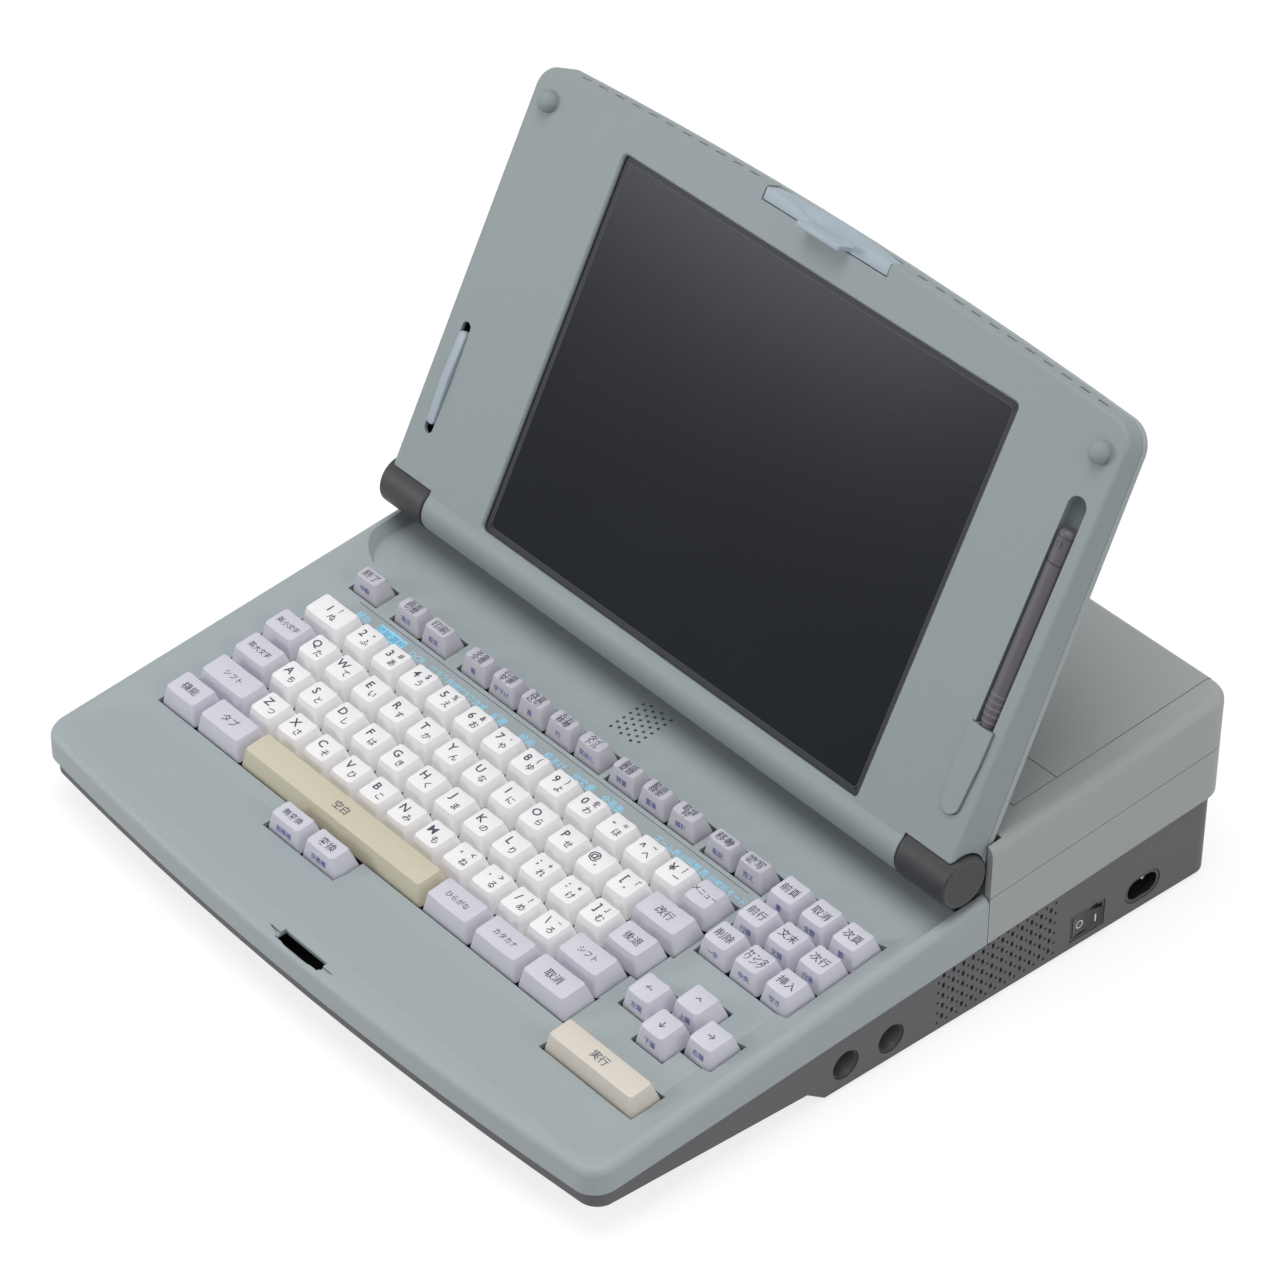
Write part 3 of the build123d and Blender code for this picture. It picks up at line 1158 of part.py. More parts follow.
with BuildPart() as pen_sleeve:
    add(sleeve_block(0, SLEEVE_FLOOR + SLEEVE_SEAT, PEN_N + PEN_RADIUS))
    # Tapered seat for the end of the pen.
    with BuildSketch(pen_plane.offset(PEN_BOTTOM - FIT)):
        Circle(PEN_TIP_RADIUS + FIT)
    with BuildSketch(pen_plane.offset(PEN_BOTTOM + PEN_CONE - FIT)):
        Circle(PEN_RADIUS + FIT)
    loft(mode=Mode.SUBTRACT)
write(pen_sleeve, "pen_sleeve")

with BuildPart() as stylus:
    with BuildSketch(pen_plane.offset(PEN_BOTTOM + PEN_CONE)):
        Circle(PEN_RADIUS)
    extrude(amount=PEN_TOP - PEN_BOTTOM - PEN_CONE)
    fillet(stylus.faces().sort_by(Axis((0, 0, 0), tuple(pen_plane.z_dir)))[-1].edges(), 3)
    with BuildSketch(pen_plane.offset(PEN_BOTTOM)):
        Circle(PEN_TIP_RADIUS)
    with BuildSketch(pen_plane.offset(PEN_BOTTOM + PEN_CONE)):
        Circle(PEN_RADIUS)
    loft()
write(stylus, "stylus")

with BuildPart() as contrast_slider:
    with BuildSketch(PANEL.offset(BEZEL_FACE - BEZEL_WALL + 0.4)):
        with Locations((SLIDER_X, slider_middle)):
            SlotOverall(SLIDER_LENGTH, SLIDER_SLOT_WIDTH - 2 * FIT, rotation=90)
    extrude(amount=BEZEL_WALL + SLIDER_PROUD - 0.4)
    with BuildSketch(PANEL.offset(BEZEL_FACE - BEZEL_WALL - FIT)):
        with Locations((SLIDER_X, slider_middle)):
            Rectangle(SLIDER_SLOT_WIDTH + 2 * SLIDER_FLANGE, SLIDER_LENGTH - 6)
    extrude(amount=-SLIDER_FLANGE)
    with BuildSketch(PANEL.offset(BEZEL_FACE - BEZEL_WALL - FIT)):
        with Locations((SLIDER_X, slider_middle)):
            Rectangle(SLIDER_SLOT_WIDTH - 2 * FIT, SLIDER_LENGTH - 8)
    extrude(amount=BEZEL_WALL)
write(contrast_slider, "contrast_slider")

with BuildPart() as lid_latch:
    with BuildSketch(PANEL.offset(BEZEL_FACE)):
        with Locations((latch_middle, (LATCH_BOTTOM + FIT + LATCH_TOP) / 2)):
            Rectangle(latch_width, LATCH_TOP - LATCH_BOTTOM - FIT)
    extrude(amount=-LATCH_DEPTH)
    with BuildSketch(PANEL.offset(BEZEL_FACE)):
        with Locations((HOOK_X, HOOK_S)):
            Rectangle(HOOK_WIDTH, HOOK_THICKNESS)
    extrude(amount=HOOK_REACH)
write(lid_latch, "lid_latch")

# ================================================================ electronics
CHIP_HEIGHT = 3.0


def circuit_board(x_range, y_range, chips):
    """A board with rectangular components on it."""
    middle = (sum(x_range) / 2, sum(y_range) / 2)
    with BuildPart() as board:
        with BuildSketch(Plane.XY.offset(BENCH_Z)):
            with Locations(middle):
                Rectangle(x_range[1] - x_range[0], y_range[1] - y_range[0])
        extrude(amount=BOARD_THICKNESS)
        for dx, dy, width, depth, height in chips:
            with BuildSketch(Plane.XY.offset(BENCH_Z + BOARD_THICKNESS)):
                with Locations((middle[0] + dx * WIDER, middle[1] + dy * DEEPER)):
                    Rectangle(width * WIDER, depth * DEEPER)
            extrude(amount=height)
    return board


main_chips = [
    (0, 0, 28, 28, CHIP_HEIGHT),
    (-30, 40, 14, 36, CHIP_HEIGHT),
    (30, 40, 14, 36, CHIP_HEIGHT),
    (-28, -50, 24, 24, CHIP_HEIGHT),
    (26, -50, 14, 30, CHIP_HEIGHT),
    (0, 84, 60, 8, 7),
]
write(circuit_board(MAIN_BOARD_X, MAIN_BOARD_Y, main_chips), "main_board")
supply_parts = [
    (-8, -28, 34, 34, 28),
    (18, 16, 16, 20, 20),
    (-16, 26, 12, 12, 24),
    (10, 46, 36, 8, 22),
    (24, -30, 6, 40, 26),
]
write(circuit_board(SUPPLY_X, SUPPLY_Y, supply_parts), "power_supply")

JACK_DEPTH = 14.0
JACK_BORE = 5.0
JACK_END = 4.0              # closed end of a socket
JACK_SUNK = 0.6
INLET_SUNK = 0.3
with BuildPart() as connector_jacks:
    with BuildSketch(RIGHT_WALL.offset(-JACK_SUNK)):
        with Locations(*[(Y_FRONT + back, z) for back, z in JACK_PLACES]):
            Circle(JACK_RADIUS)
    extrude(amount=-JACK_DEPTH)
    with BuildSketch(RIGHT_WALL.offset(1)):
        with Locations(*[(Y_FRONT + back, z) for back, z in JACK_PLACES]):
            Circle(JACK_BORE)
    extrude(amount=-JACK_DEPTH + JACK_END, mode=Mode.SUBTRACT)
write(connector_jacks, "connector_jacks")

INLET_RIM = 1.6
INLET_END = 3.0             # closed end of the inlet
INLET_PIN_PITCH = 8.6
INLET_PIN_RADIUS = 1.2
with BuildPart() as mains_inlet:
    with BuildSketch(RIGHT_WALL.offset(-INLET_SUNK)):
        with Locations((Y_FRONT + INLET_BACK, INLET_Z)):
            SlotOverall(INLET_WIDTH, INLET_HEIGHT)
    extrude(amount=-INLET_DEPTH)
    with BuildSketch(RIGHT_WALL.offset(1)):
        with Locations((Y_FRONT + INLET_BACK, INLET_Z)):
            SlotOverall(INLET_WIDTH - 2 * INLET_RIM, INLET_HEIGHT - 2 * INLET_RIM)
    extrude(amount=-INLET_DEPTH + INLET_END, mode=Mode.SUBTRACT)
    with BuildSketch(RIGHT_WALL.offset(-INLET_DEPTH)):
        with Locations((Y_FRONT + INLET_BACK, INLET_Z)):
            with GridLocations(INLET_PIN_PITCH, 0, 2, 1):
                Circle(INLET_PIN_RADIUS)
    extrude(amount=INLET_DEPTH - INLET_END - 1)
write(mains_inlet, "mains_inlet")

# Power switch: a fixed box and a rocker on an upright pin.
ROCKER_TILT = -7.0
ROCKER_RUN = 0.8            # rocker to the walls of its box
SWITCH_RIM = 1.2
SWITCH_DEPTH = 15.0
ROCKER_PIN_X = TRAY_HALF - 5.0
ROCKER_PIN_RADIUS = 1.5
rocker_y = Y_FRONT + SWITCH_BACK
ROCKER_LENGTH = SWITCH_WIDTH - 2 * SWITCH_RIM - 2 * ROCKER_RUN
ROCKER_HEIGHT = SWITCH_HEIGHT - 2 * SWITCH_RIM - 2 * FIT
with BuildPart() as switch_box:
    with BuildSketch(RIGHT_WALL.offset(-0.2)):
        with Locations((rocker_y, SWITCH_Z)):
            Rectangle(SWITCH_WIDTH, SWITCH_HEIGHT)
    extrude(amount=-SWITCH_DEPTH)
    with BuildSketch(RIGHT_WALL.offset(1)):
        with Locations((rocker_y, SWITCH_Z)):
            Rectangle(SWITCH_WIDTH - 2 * SWITCH_RIM, SWITCH_HEIGHT - 2 * SWITCH_RIM)
    extrude(amount=-SWITCH_DEPTH + 3, mode=Mode.SUBTRACT)
    with Locations((ROCKER_PIN_X, rocker_y, SWITCH_Z)):
        Cylinder(ROCKER_PIN_RADIUS + RUN, SWITCH_HEIGHT + 2, mode=Mode.SUBTRACT)
write(switch_box, "switch_box")

rocker_plane = Plane(
    origin=(ROCKER_PIN_X, rocker_y, SWITCH_Z - ROCKER_HEIGHT / 2),
    x_dir=(cos(radians(ROCKER_TILT)), sin(radians(ROCKER_TILT)), 0),
    z_dir=(0, 0, 1),
)
ROCKER_PROUD = 6.0
with BuildPart() as power_rocker:
    with BuildSketch(rocker_plane):
        with BuildLine():
            ThreePointArc(
                (ROCKER_PROUD, -ROCKER_LENGTH / 2),
                (ROCKER_PROUD - 1.4, 0),
                (ROCKER_PROUD, ROCKER_LENGTH / 2),
            )
            Polyline(
                (ROCKER_PROUD, ROCKER_LENGTH / 2),
                (0, ROCKER_LENGTH / 2 - 0.6),
                (-2.5, 3),
                (-2.5, -3),
                (0, -ROCKER_LENGTH / 2 + 0.6),
                (ROCKER_PROUD, -ROCKER_LENGTH / 2),
            )
        make_face()
    extrude(amount=ROCKER_HEIGHT)
    with Locations((ROCKER_PIN_X, rocker_y, SWITCH_Z)):
        Cylinder(ROCKER_PIN_RADIUS, SWITCH_HEIGHT - 0.4)
write(power_rocker, "power_rocker")

# Diskette drive, its face flush with the left wall.
drive_middle = Y_FRONT + DRIVE_BACK + DRIVE_WIDTH / 2
DISK_SLOT_WIDTH = DRIVE_WIDTH - 10.0
DISK_SLOT_HEIGHT = 4.6
DISK_SLOT_DEPTH = DRIVE_DEPTH - 45.0
DISK_SLOT_Z = DRIVE_Z + 15.0
EJECT_SIZE = (14.0, 5.4)
EJECT_Y = drive_middle + 34.0
EJECT_Z = DRIVE_Z + 6.0
EJECT_PROUD = 2.5
EJECT_LENGTH = 14.0
EJECT_TRAVEL = 3.0
drive_face = -TRAY_HALF - 0.2
with BuildPart() as diskette_drive:
    with Locations((drive_face, drive_middle, DRIVE_Z)):
        Box(DRIVE_DEPTH, DRIVE_WIDTH, DRIVE_HEIGHT, align=(Align.MIN, Align.CENTER, Align.MIN))
    with Locations((drive_face - 1, drive_middle, DISK_SLOT_Z)):
        Box(DISK_SLOT_DEPTH, DISK_SLOT_WIDTH, DISK_SLOT_HEIGHT,
            align=(Align.MIN, Align.CENTER, Align.MIN), mode=Mode.SUBTRACT)
    with Locations((drive_face - 1, EJECT_Y, EJECT_Z)):
        Box(EJECT_LENGTH + EJECT_TRAVEL + 2, EJECT_SIZE[0] + 2 * FIT, EJECT_SIZE[1] + 2 * FIT,
            align=(Align.MIN, Align.CENTER, Align.CENTER), mode=Mode.SUBTRACT)
write(diskette_drive, "diskette_drive")

with BuildPart() as eject_button:
    with Locations((drive_face - EJECT_PROUD, EJECT_Y, EJECT_Z)):
        Box(EJECT_LENGTH + EJECT_PROUD, EJECT_SIZE[0], EJECT_SIZE[1],
            align=(Align.MIN, Align.CENTER, Align.CENTER))
write(eject_button, "eject_button")

# =================================================================== printer
CHASSIS_HALF = HALF_WIDTH - 19.5
CHASSIS_FRONT = Y_FRONT + 233.0 * DEEPER
CHASSIS_BACK = Y_FRONT + 346.0 * DEEPER
CHASSIS_TOP = CHASSIS_Z + 34.0
ROD_RADIUS = 3.0
ROD_Y = Y_FRONT + 250.0 * DEEPER
ROD_LOW_Z = CHASSIS_Z + 9.0
ROD_HIGH_Z = CHASSIS_Z + 29.0
PLATEN_RADIUS = 10.0
PLATEN_SHAFT_RADIUS = 3.0
PLATEN_HALF = CHASSIS_HALF - 16.0
PLATEN_Y = Y_FRONT + 291.0 * DEEPER
PLATEN_Z = CHASSIS_Z + 22.0
GEAR_TEETH = 36
PINION_TEETH = 12
GEAR_MODULE = 1.0
GEAR_WIDTH = 5.0
GEAR_PLAY = 0.25
GEAR_X = CHASSIS_HALF - CHASSIS_PLATE - 1.0 - GEAR_WIDTH
chassis_end = CHASSIS_HALF - CHASSIS_PLATE
pinion_centre = (GEAR_TEETH + PINION_TEETH) * GEAR_MODULE / 2 + GEAR_PLAY
PINION_Y = PLATEN_Y + pinion_centre
PINION_Z = PLATEN_Z
BELT_Z = CHASSIS_Z + 19.0
BELT_HALF = CHASSIS_HALF - 18.0
BELT_LOOP = 5.0
BELT_WIDTH = 3.0
belt_y = ROD_Y - 12.5

with BuildPart() as printer_chassis:
    with BuildSketch(Plane.YZ):
        with BuildLine():
            Polyline(
                (CHASSIS_FRONT, CHASSIS_Z),
                (CHASSIS_BACK, CHASSIS_Z),
                (CHASSIS_BACK, CHASSIS_TOP),
                (CHASSIS_FRONT, CHASSIS_TOP),
                close=True,
            )
        make_face()
    extrude(amount=CHASSIS_HALF, both=True)
    with Locations((0, (CHASSIS_FRONT + CHASSIS_BACK) / 2, CHASSIS_Z + CHASSIS_PLATE)):
        Box(2 * chassis_end, 2 * (CHASSIS_BACK - CHASSIS_FRONT), 2 * CHASSIS_TOP,
            align=(Align.CENTER, Align.CENTER, Align.MIN), mode=Mode.SUBTRACT)
    # Post of the belt's idle pulley.
    with Locations((BELT_HALF - BELT_LOOP, belt_y, CHASSIS_Z + CHASSIS_PLATE)):
        Cylinder(BELT_LOOP - 1 - FIT, BELT_Z + BELT_WIDTH - CHASSIS_Z - CHASSIS_PLATE,
                 align=(Align.CENTER, Align.CENTER, Align.MIN))
    for y, z, radius in (
        (ROD_Y, ROD_LOW_Z, ROD_RADIUS + RUN / 2),
        (ROD_Y, ROD_HIGH_Z, ROD_RADIUS + RUN / 2),
        (PLATEN_Y, PLATEN_Z, PLATEN_SHAFT_RADIUS + RUN),
    ):
        with Locations((0, y, z)):
            Cylinder(radius, CASE_WIDTH, rotation=(0, 90, 0), mode=Mode.SUBTRACT)
write(printer_chassis, "printer_chassis")

with BuildPart() as guide_rods:
    for z in (ROD_LOW_Z, ROD_HIGH_Z):
        with Locations((0, ROD_Y, z)):
            Cylinder(ROD_RADIUS, 2 * CHASSIS_HALF + 4, rotation=(0, 90, 0))
write(guide_rods, "guide_rods")

with BuildPart() as platen_roller:
    with Locations((0, PLATEN_Y, PLATEN_Z)):
        Cylinder(PLATEN_RADIUS, 2 * PLATEN_HALF, rotation=(0, 90, 0))
        Cylinder(PLATEN_SHAFT_RADIUS + 0.01, CASE_WIDTH, rotation=(0, 90, 0), mode=Mode.SUBTRACT)
write(platen_roller, "platen_roller")

with BuildPart() as platen_shaft:
    with Locations((0, PLATEN_Y, PLATEN_Z)):
        Cylinder(PLATEN_SHAFT_RADIUS, 2 * CHASSIS_HALF + 6, rotation=(0, 90, 0))
write(platen_shaft, "platen_shaft")


def gear(plane, teeth, bore, phase, width):
    """Spur gear with straight-sided teeth."""
    pitch = teeth * GEAR_MODULE / 2
    root = pitch - 1.2 * GEAR_MODULE
    tip = pitch + 0.9 * GEAR_MODULE
    half_root = degrees(0.95 * GEAR_MODULE / pitch)
    half_tip = degrees(0.4 * GEAR_MODULE / pitch)
    with BuildPart() as wheel:
        with BuildSketch(plane):
            Circle(root)
            for tooth in range(teeth):
                turn = phase + 360 * tooth / teeth
                with BuildLine():
                    Polyline(
                        *[
                            (r * cos(radians(turn + a)), r * sin(radians(turn + a)))
                            for r, a in (
                                (root - 0.5, -half_root),
                                (root, -half_root),
                                (tip, -half_tip),
                                (tip, half_tip),
                                (root, half_root),
                                (root - 0.5, half_root),
                            )
                        ],
                        close=True,
                    )
                make_face()
            Circle(bore, mode=Mode.SUBTRACT)
        extrude(amount=width)
    return wheel


gear_plane = Plane(origin=(GEAR_X, PLATEN_Y, PLATEN_Z), x_dir=(0, 1, 0), z_dir=(1, 0, 0))
pinion_plane = Plane(origin=(GEAR_X, PINION_Y, PINION_Z), x_dir=(0, 1, 0), z_dir=(1, 0, 0))
MOTOR_RADIUS = 13.5
MOTOR_LENGTH = 22.0
MOTOR_SHAFT_RADIUS = 1.5
write(gear(gear_plane, GEAR_TEETH, PLATEN_SHAFT_RADIUS + 0.01, 0, GEAR_WIDTH), "platen_gear")

with BuildPart() as motor_pinion:
    add(gear(pinion_plane, PINION_TEETH, MOTOR_SHAFT_RADIUS, 180 + 180 / PINION_TEETH,
             GEAR_WIDTH).part)
    with Locations((GEAR_X, PINION_Y, PINION_Z)):
        Cylinder(MOTOR_SHAFT_RADIUS, 2 * GEAR_WIDTH, rotation=(0, 90, 0))
write(motor_pinion, "motor_pinion")

motor_face = GEAR_X - 0.6
with BuildPart() as feed_motor:
    with Locations((motor_face - MOTOR_LENGTH / 2, PINION_Y, PINION_Z)):
        Cylinder(MOTOR_RADIUS, MOTOR_LENGTH, rotation=(0, 90, 0))
    with Locations((motor_face, PINION_Y, PINION_Z)):
        Cylinder(MOTOR_SHAFT_RADIUS + RUN, MOTOR_LENGTH, rotation=(0, 90, 0), mode=Mode.SUBTRACT)
    # Foot of the motor, on the chassis floor.
    with Locations((motor_face - MOTOR_LENGTH / 2, PINION_Y, CHASSIS_Z + CHASSIS_PLATE)):
        Box(MOTOR_LENGTH - 4, MOTOR_RADIUS, PINION_Z - CHASSIS_Z - MOTOR_RADIUS + 1,
            align=(Align.CENTER, Align.CENTER, Align.MIN))
write(feed_motor, "feed_motor")

# Carriage with the thermal head and the ribbon cassette.
CARRIAGE_X = -60.0 * WIDER
CARRIAGE_WIDTH = 44.0
CARRIAGE_FRONT = ROD_Y - 7.0
CARRIAGE_BACK = PLATEN_Y - PLATEN_RADIUS - 8.0
CARRIAGE_BOTTOM = ROD_LOW_Z - 5.0
CARRIAGE_TOP = CHASSIS_Z + 33.0
HEAD_THICKNESS = 6.5
RIBBON_SIZE = (40.0, 22.0, 5.0)
with BuildPart() as print_carriage:
    with Locations((CARRIAGE_X, CARRIAGE_FRONT, CARRIAGE_BOTTOM)):
        Box(CARRIAGE_WIDTH, CARRIAGE_BACK - CARRIAGE_FRONT, CARRIAGE_TOP - CARRIAGE_BOTTOM,
            align=(Align.CENTER, Align.MIN, Align.MIN))
    for z in (ROD_LOW_Z, ROD_HIGH_Z):
        with Locations((CARRIAGE_X, ROD_Y, z)):
            Cylinder(ROD_RADIUS + RUN, CASE_WIDTH, rotation=(0, 90, 0), mode=Mode.SUBTRACT)
write(print_carriage, "print_carriage")

with BuildPart() as print_head:
    with Locations((CARRIAGE_X, CARRIAGE_BACK, PLATEN_Z)):
        Box(18, HEAD_THICKNESS, 14, align=(Align.CENTER, Align.MIN, Align.CENTER))
write(print_head, "print_head")

with BuildPart() as ribbon_cassette:
    with Locations((CARRIAGE_X, CARRIAGE_FRONT + 1, CARRIAGE_TOP)):
        Box(*RIBBON_SIZE, align=(Align.CENTER, Align.MIN, Align.MIN))
write(ribbon_cassette, "ribbon_cassette")

with BuildPart() as carriage_belt:
    with BuildSketch(Plane.XY.offset(BELT_Z)):
        with Locations((0, belt_y)):
            SlotOverall(2 * BELT_HALF, 2 * BELT_LOOP)
            SlotOverall(2 * BELT_HALF - 2, 2 * BELT_LOOP - 2, mode=Mode.SUBTRACT)
    extrude(amount=BELT_WIDTH)
write(carriage_belt, "carriage_belt")

with BuildPart() as carriage_motor:
    pulley_x = -BELT_HALF + BELT_LOOP
    with Locations((pulley_x, belt_y + 1.5, CHASSIS_Z + CHASSIS_PLATE)):
        Box(20, 8, 8, align=(Align.CENTER, Align.CENTER, Align.MIN))
    with Locations((pulley_x, belt_y, CHASSIS_Z + CHASSIS_PLATE)):
        Cylinder(BELT_LOOP - 1.3, BELT_Z + BELT_WIDTH - CHASSIS_Z - CHASSIS_PLATE,
                 align=(Align.CENTER, Align.CENTER, Align.MIN))
write(carriage_motor, "carriage_motor")
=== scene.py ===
import math

import bmesh
import bpy
from mathutils import Matrix, Vector
from mathutils.bvhtree import BVHTree


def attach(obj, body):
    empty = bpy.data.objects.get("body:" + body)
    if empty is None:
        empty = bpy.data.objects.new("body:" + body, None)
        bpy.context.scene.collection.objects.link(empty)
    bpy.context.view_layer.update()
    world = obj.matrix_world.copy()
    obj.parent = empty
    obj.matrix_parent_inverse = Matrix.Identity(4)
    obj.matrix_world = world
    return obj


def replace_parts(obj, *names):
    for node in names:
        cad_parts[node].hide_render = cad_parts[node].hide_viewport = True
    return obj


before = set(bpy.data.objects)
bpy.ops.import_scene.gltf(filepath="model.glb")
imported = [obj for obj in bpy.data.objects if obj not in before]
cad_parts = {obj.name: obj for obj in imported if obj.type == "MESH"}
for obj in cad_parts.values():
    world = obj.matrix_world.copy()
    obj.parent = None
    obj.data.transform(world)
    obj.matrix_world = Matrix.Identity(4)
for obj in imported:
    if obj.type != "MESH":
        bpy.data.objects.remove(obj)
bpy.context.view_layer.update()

# ------------------------------------------------------------------ the camera
# A long lens from the front right and above, along the solved viewing line.
lens_px, frame_px = 5126.0, 1280.0        # focal length and frame width, in pixels
camera_place = (1.2991, -1.1318, 1.4673)
camera_data = bpy.data.cameras.new("studio_camera")
camera_data.sensor_width = 36.0
camera_data.lens = lens_px / frame_px * camera_data.sensor_width
camera_data.shift_x = 0.0085
camera_data.shift_y = -0.0053
camera_data.clip_start = 0.1
camera_data.clip_end = 50.0
camera = bpy.data.objects.new("studio_camera", camera_data)
bpy.context.collection.objects.link(camera)
to_right = Vector((0.65423, 0.75627, 0.00673))
to_top = Vector((-0.47097, 0.40044, 0.78603))
to_back = to_right.cross(to_top)
camera.matrix_world = Matrix.Translation(camera_place) @ Matrix(
    (to_right, to_top, to_back)).transposed().to_4x4()
bpy.context.scene.camera = camera
bpy.context.scene.view_settings.view_transform = "Standard"


# -------------------------------------------------------------- studio and floor
# A plain white paper floor, three soft boxes and a dim white room. The floor
# looks white to the eye, to gloss and through glass, and keeps the shadow.
def linear(colour):
    """sRGB hex colour as linear RGBA."""
    parts = [int(colour[i:i + 2], 16) / 255 for i in (1, 3, 5)]
    return tuple(
        c / 12.92 if c <= 0.04045 else ((c + 0.055) / 1.055) ** 2.4 for c in parts) + (1.0,)


def add_node(tree, kind, inputs=None, **settings):
    """Add a node, make its settings, and fill or link its inputs."""
    made = tree.nodes.new(kind)
    for name, value in settings.items():
        setattr(made, name, value)
    for key, value in (inputs or {}).items():
        if isinstance(value, bpy.types.NodeSocket):
            tree.links.new(value, made.inputs[key])
        else:
            made.inputs[key].default_value = value
    return made


def new_material(name):
    """An empty node material and its tree."""
    made = bpy.data.materials.new(name)
    made.use_nodes = True
    made.node_tree.nodes.clear()
    return made, made.node_tree


def seen_rays(tree):
    """One for rays to the eye, in gloss and through glass, else nought."""
    rays = add_node(tree, "ShaderNodeLightPath")
    direct = add_node(tree, "ShaderNodeMath", {
        0: rays.outputs["Is Camera Ray"], 1: rays.outputs["Is Transmission Ray"]},
        operation="MAXIMUM")
    return add_node(tree, "ShaderNodeMath", {
        0: direct.outputs[0], 1: rays.outputs["Is Glossy Ray"]},
        operation="MAXIMUM").outputs[0]


room = bpy.data.worlds.new("white_room")
room.use_nodes = True
room.node_tree.nodes.clear()
room_light = add_node(room.node_tree, "ShaderNodeBackground", {
    "Color": linear("#FBFCFF"), "Strength": 0.42})
room_seen = add_node(room.node_tree, "ShaderNodeBackground", {
    "Color": linear("#FFFFFF"), "Strength": 1.0})
room_mix = add_node(room.node_tree, "ShaderNodeMixShader", {
    0: seen_rays(room.node_tree), 1: room_light.outputs[0], 2: room_seen.outputs[0]})
add_node(room.node_tree, "ShaderNodeOutputWorld", {"Surface": room_mix.outputs[0]})
bpy.context.scene.world = room

paper, tree = new_material("white_studio_paper")
paper_fibre = add_node(tree, "ShaderNodeTexNoise", {
    "Vector": add_node(tree, "ShaderNodeTexCoord").outputs["Object"], "Scale": 400.0})
paper_tone = add_node(tree, "ShaderNodeMix", {
    "Factor": paper_fibre.outputs["Fac"], "A": linear("#DCDCDE"), "B": linear("#E2E2E4")},
    data_type="RGBA")
lit = add_node(tree, "ShaderNodeBsdfDiffuse", {"Color": paper_tone.outputs["Result"]})
glow = add_node(tree, "ShaderNodeEmission", {"Color": linear("#FFFFFF"), "Strength": 0.78})
half_lit = add_node(tree, "ShaderNodeBsdfDiffuse", {"Color": linear("#8E8E91")})
white = add_node(tree, "ShaderNodeAddShader", {0: half_lit.outputs[0], 1: glow.outputs[0]})
paper_mix = add_node(tree, "ShaderNodeMixShader", {
    0: seen_rays(tree), 1: lit.outputs[0], 2: white.outputs[0]})
add_node(tree, "ShaderNodeOutputMaterial", {"Surface": paper_mix.outputs[0]})

floor_sheet = bmesh.new()
bmesh.ops.create_grid(floor_sheet, x_segments=1, y_segments=1, size=6.0)
floor_mesh = bpy.data.meshes.new("floor")
floor_sheet.to_mesh(floor_mesh)
floor_sheet.free()
floor_mesh.materials.append(paper)
floor = bpy.data.objects.new("floor", floor_mesh)
bpy.context.collection.objects.link(floor)


def soft_box(name, place, size, watts):
    """A square lamp that looks at the object."""
    data = bpy.data.lights.new(name, "AREA")
    data.size = size
    data.energy = watts
    lamp = bpy.data.objects.new(name, data)
    lamp.location = place
    lamp.visible_camera = False
    lamp.rotation_mode = "QUATERNION"
    lamp.rotation_quaternion = Vector(place).to_track_quat("Z", "Y")
    bpy.context.collection.objects.link(lamp)


soft_box("soft_box_above", (0.1, -0.3, 2.6), 1.6, 39.0)
soft_box("soft_box_right", (2.3, 0.3, 1.3), 1.4, 13.0)
soft_box("soft_box_left", (-1.38, -1.55, 0.80), 0.55, 12.0)


# ------------------------------------------------------- base tray, feet, screws
# Dark grey ABS, injection moulded, with a fine eroded texture. It carries the
# works, sits under the light covers and stands on four moulded rubber feet.
def object_place(tree):
    """Object coordinates, in metres."""
    return add_node(tree, "ShaderNodeTexCoord").outputs["Object"]


def finish_with(tree, colour, rough, **sockets):
    """End a material in one principled shader."""
    inputs = {"Base Color": colour, "Roughness": rough}
    inputs.update({key.replace("_", " "): value for key, value in sockets.items()})
    shade = add_node(tree, "ShaderNodeBsdfPrincipled", inputs)
    add_node(tree, "ShaderNodeOutputMaterial", {"Surface": shade.outputs[0]})


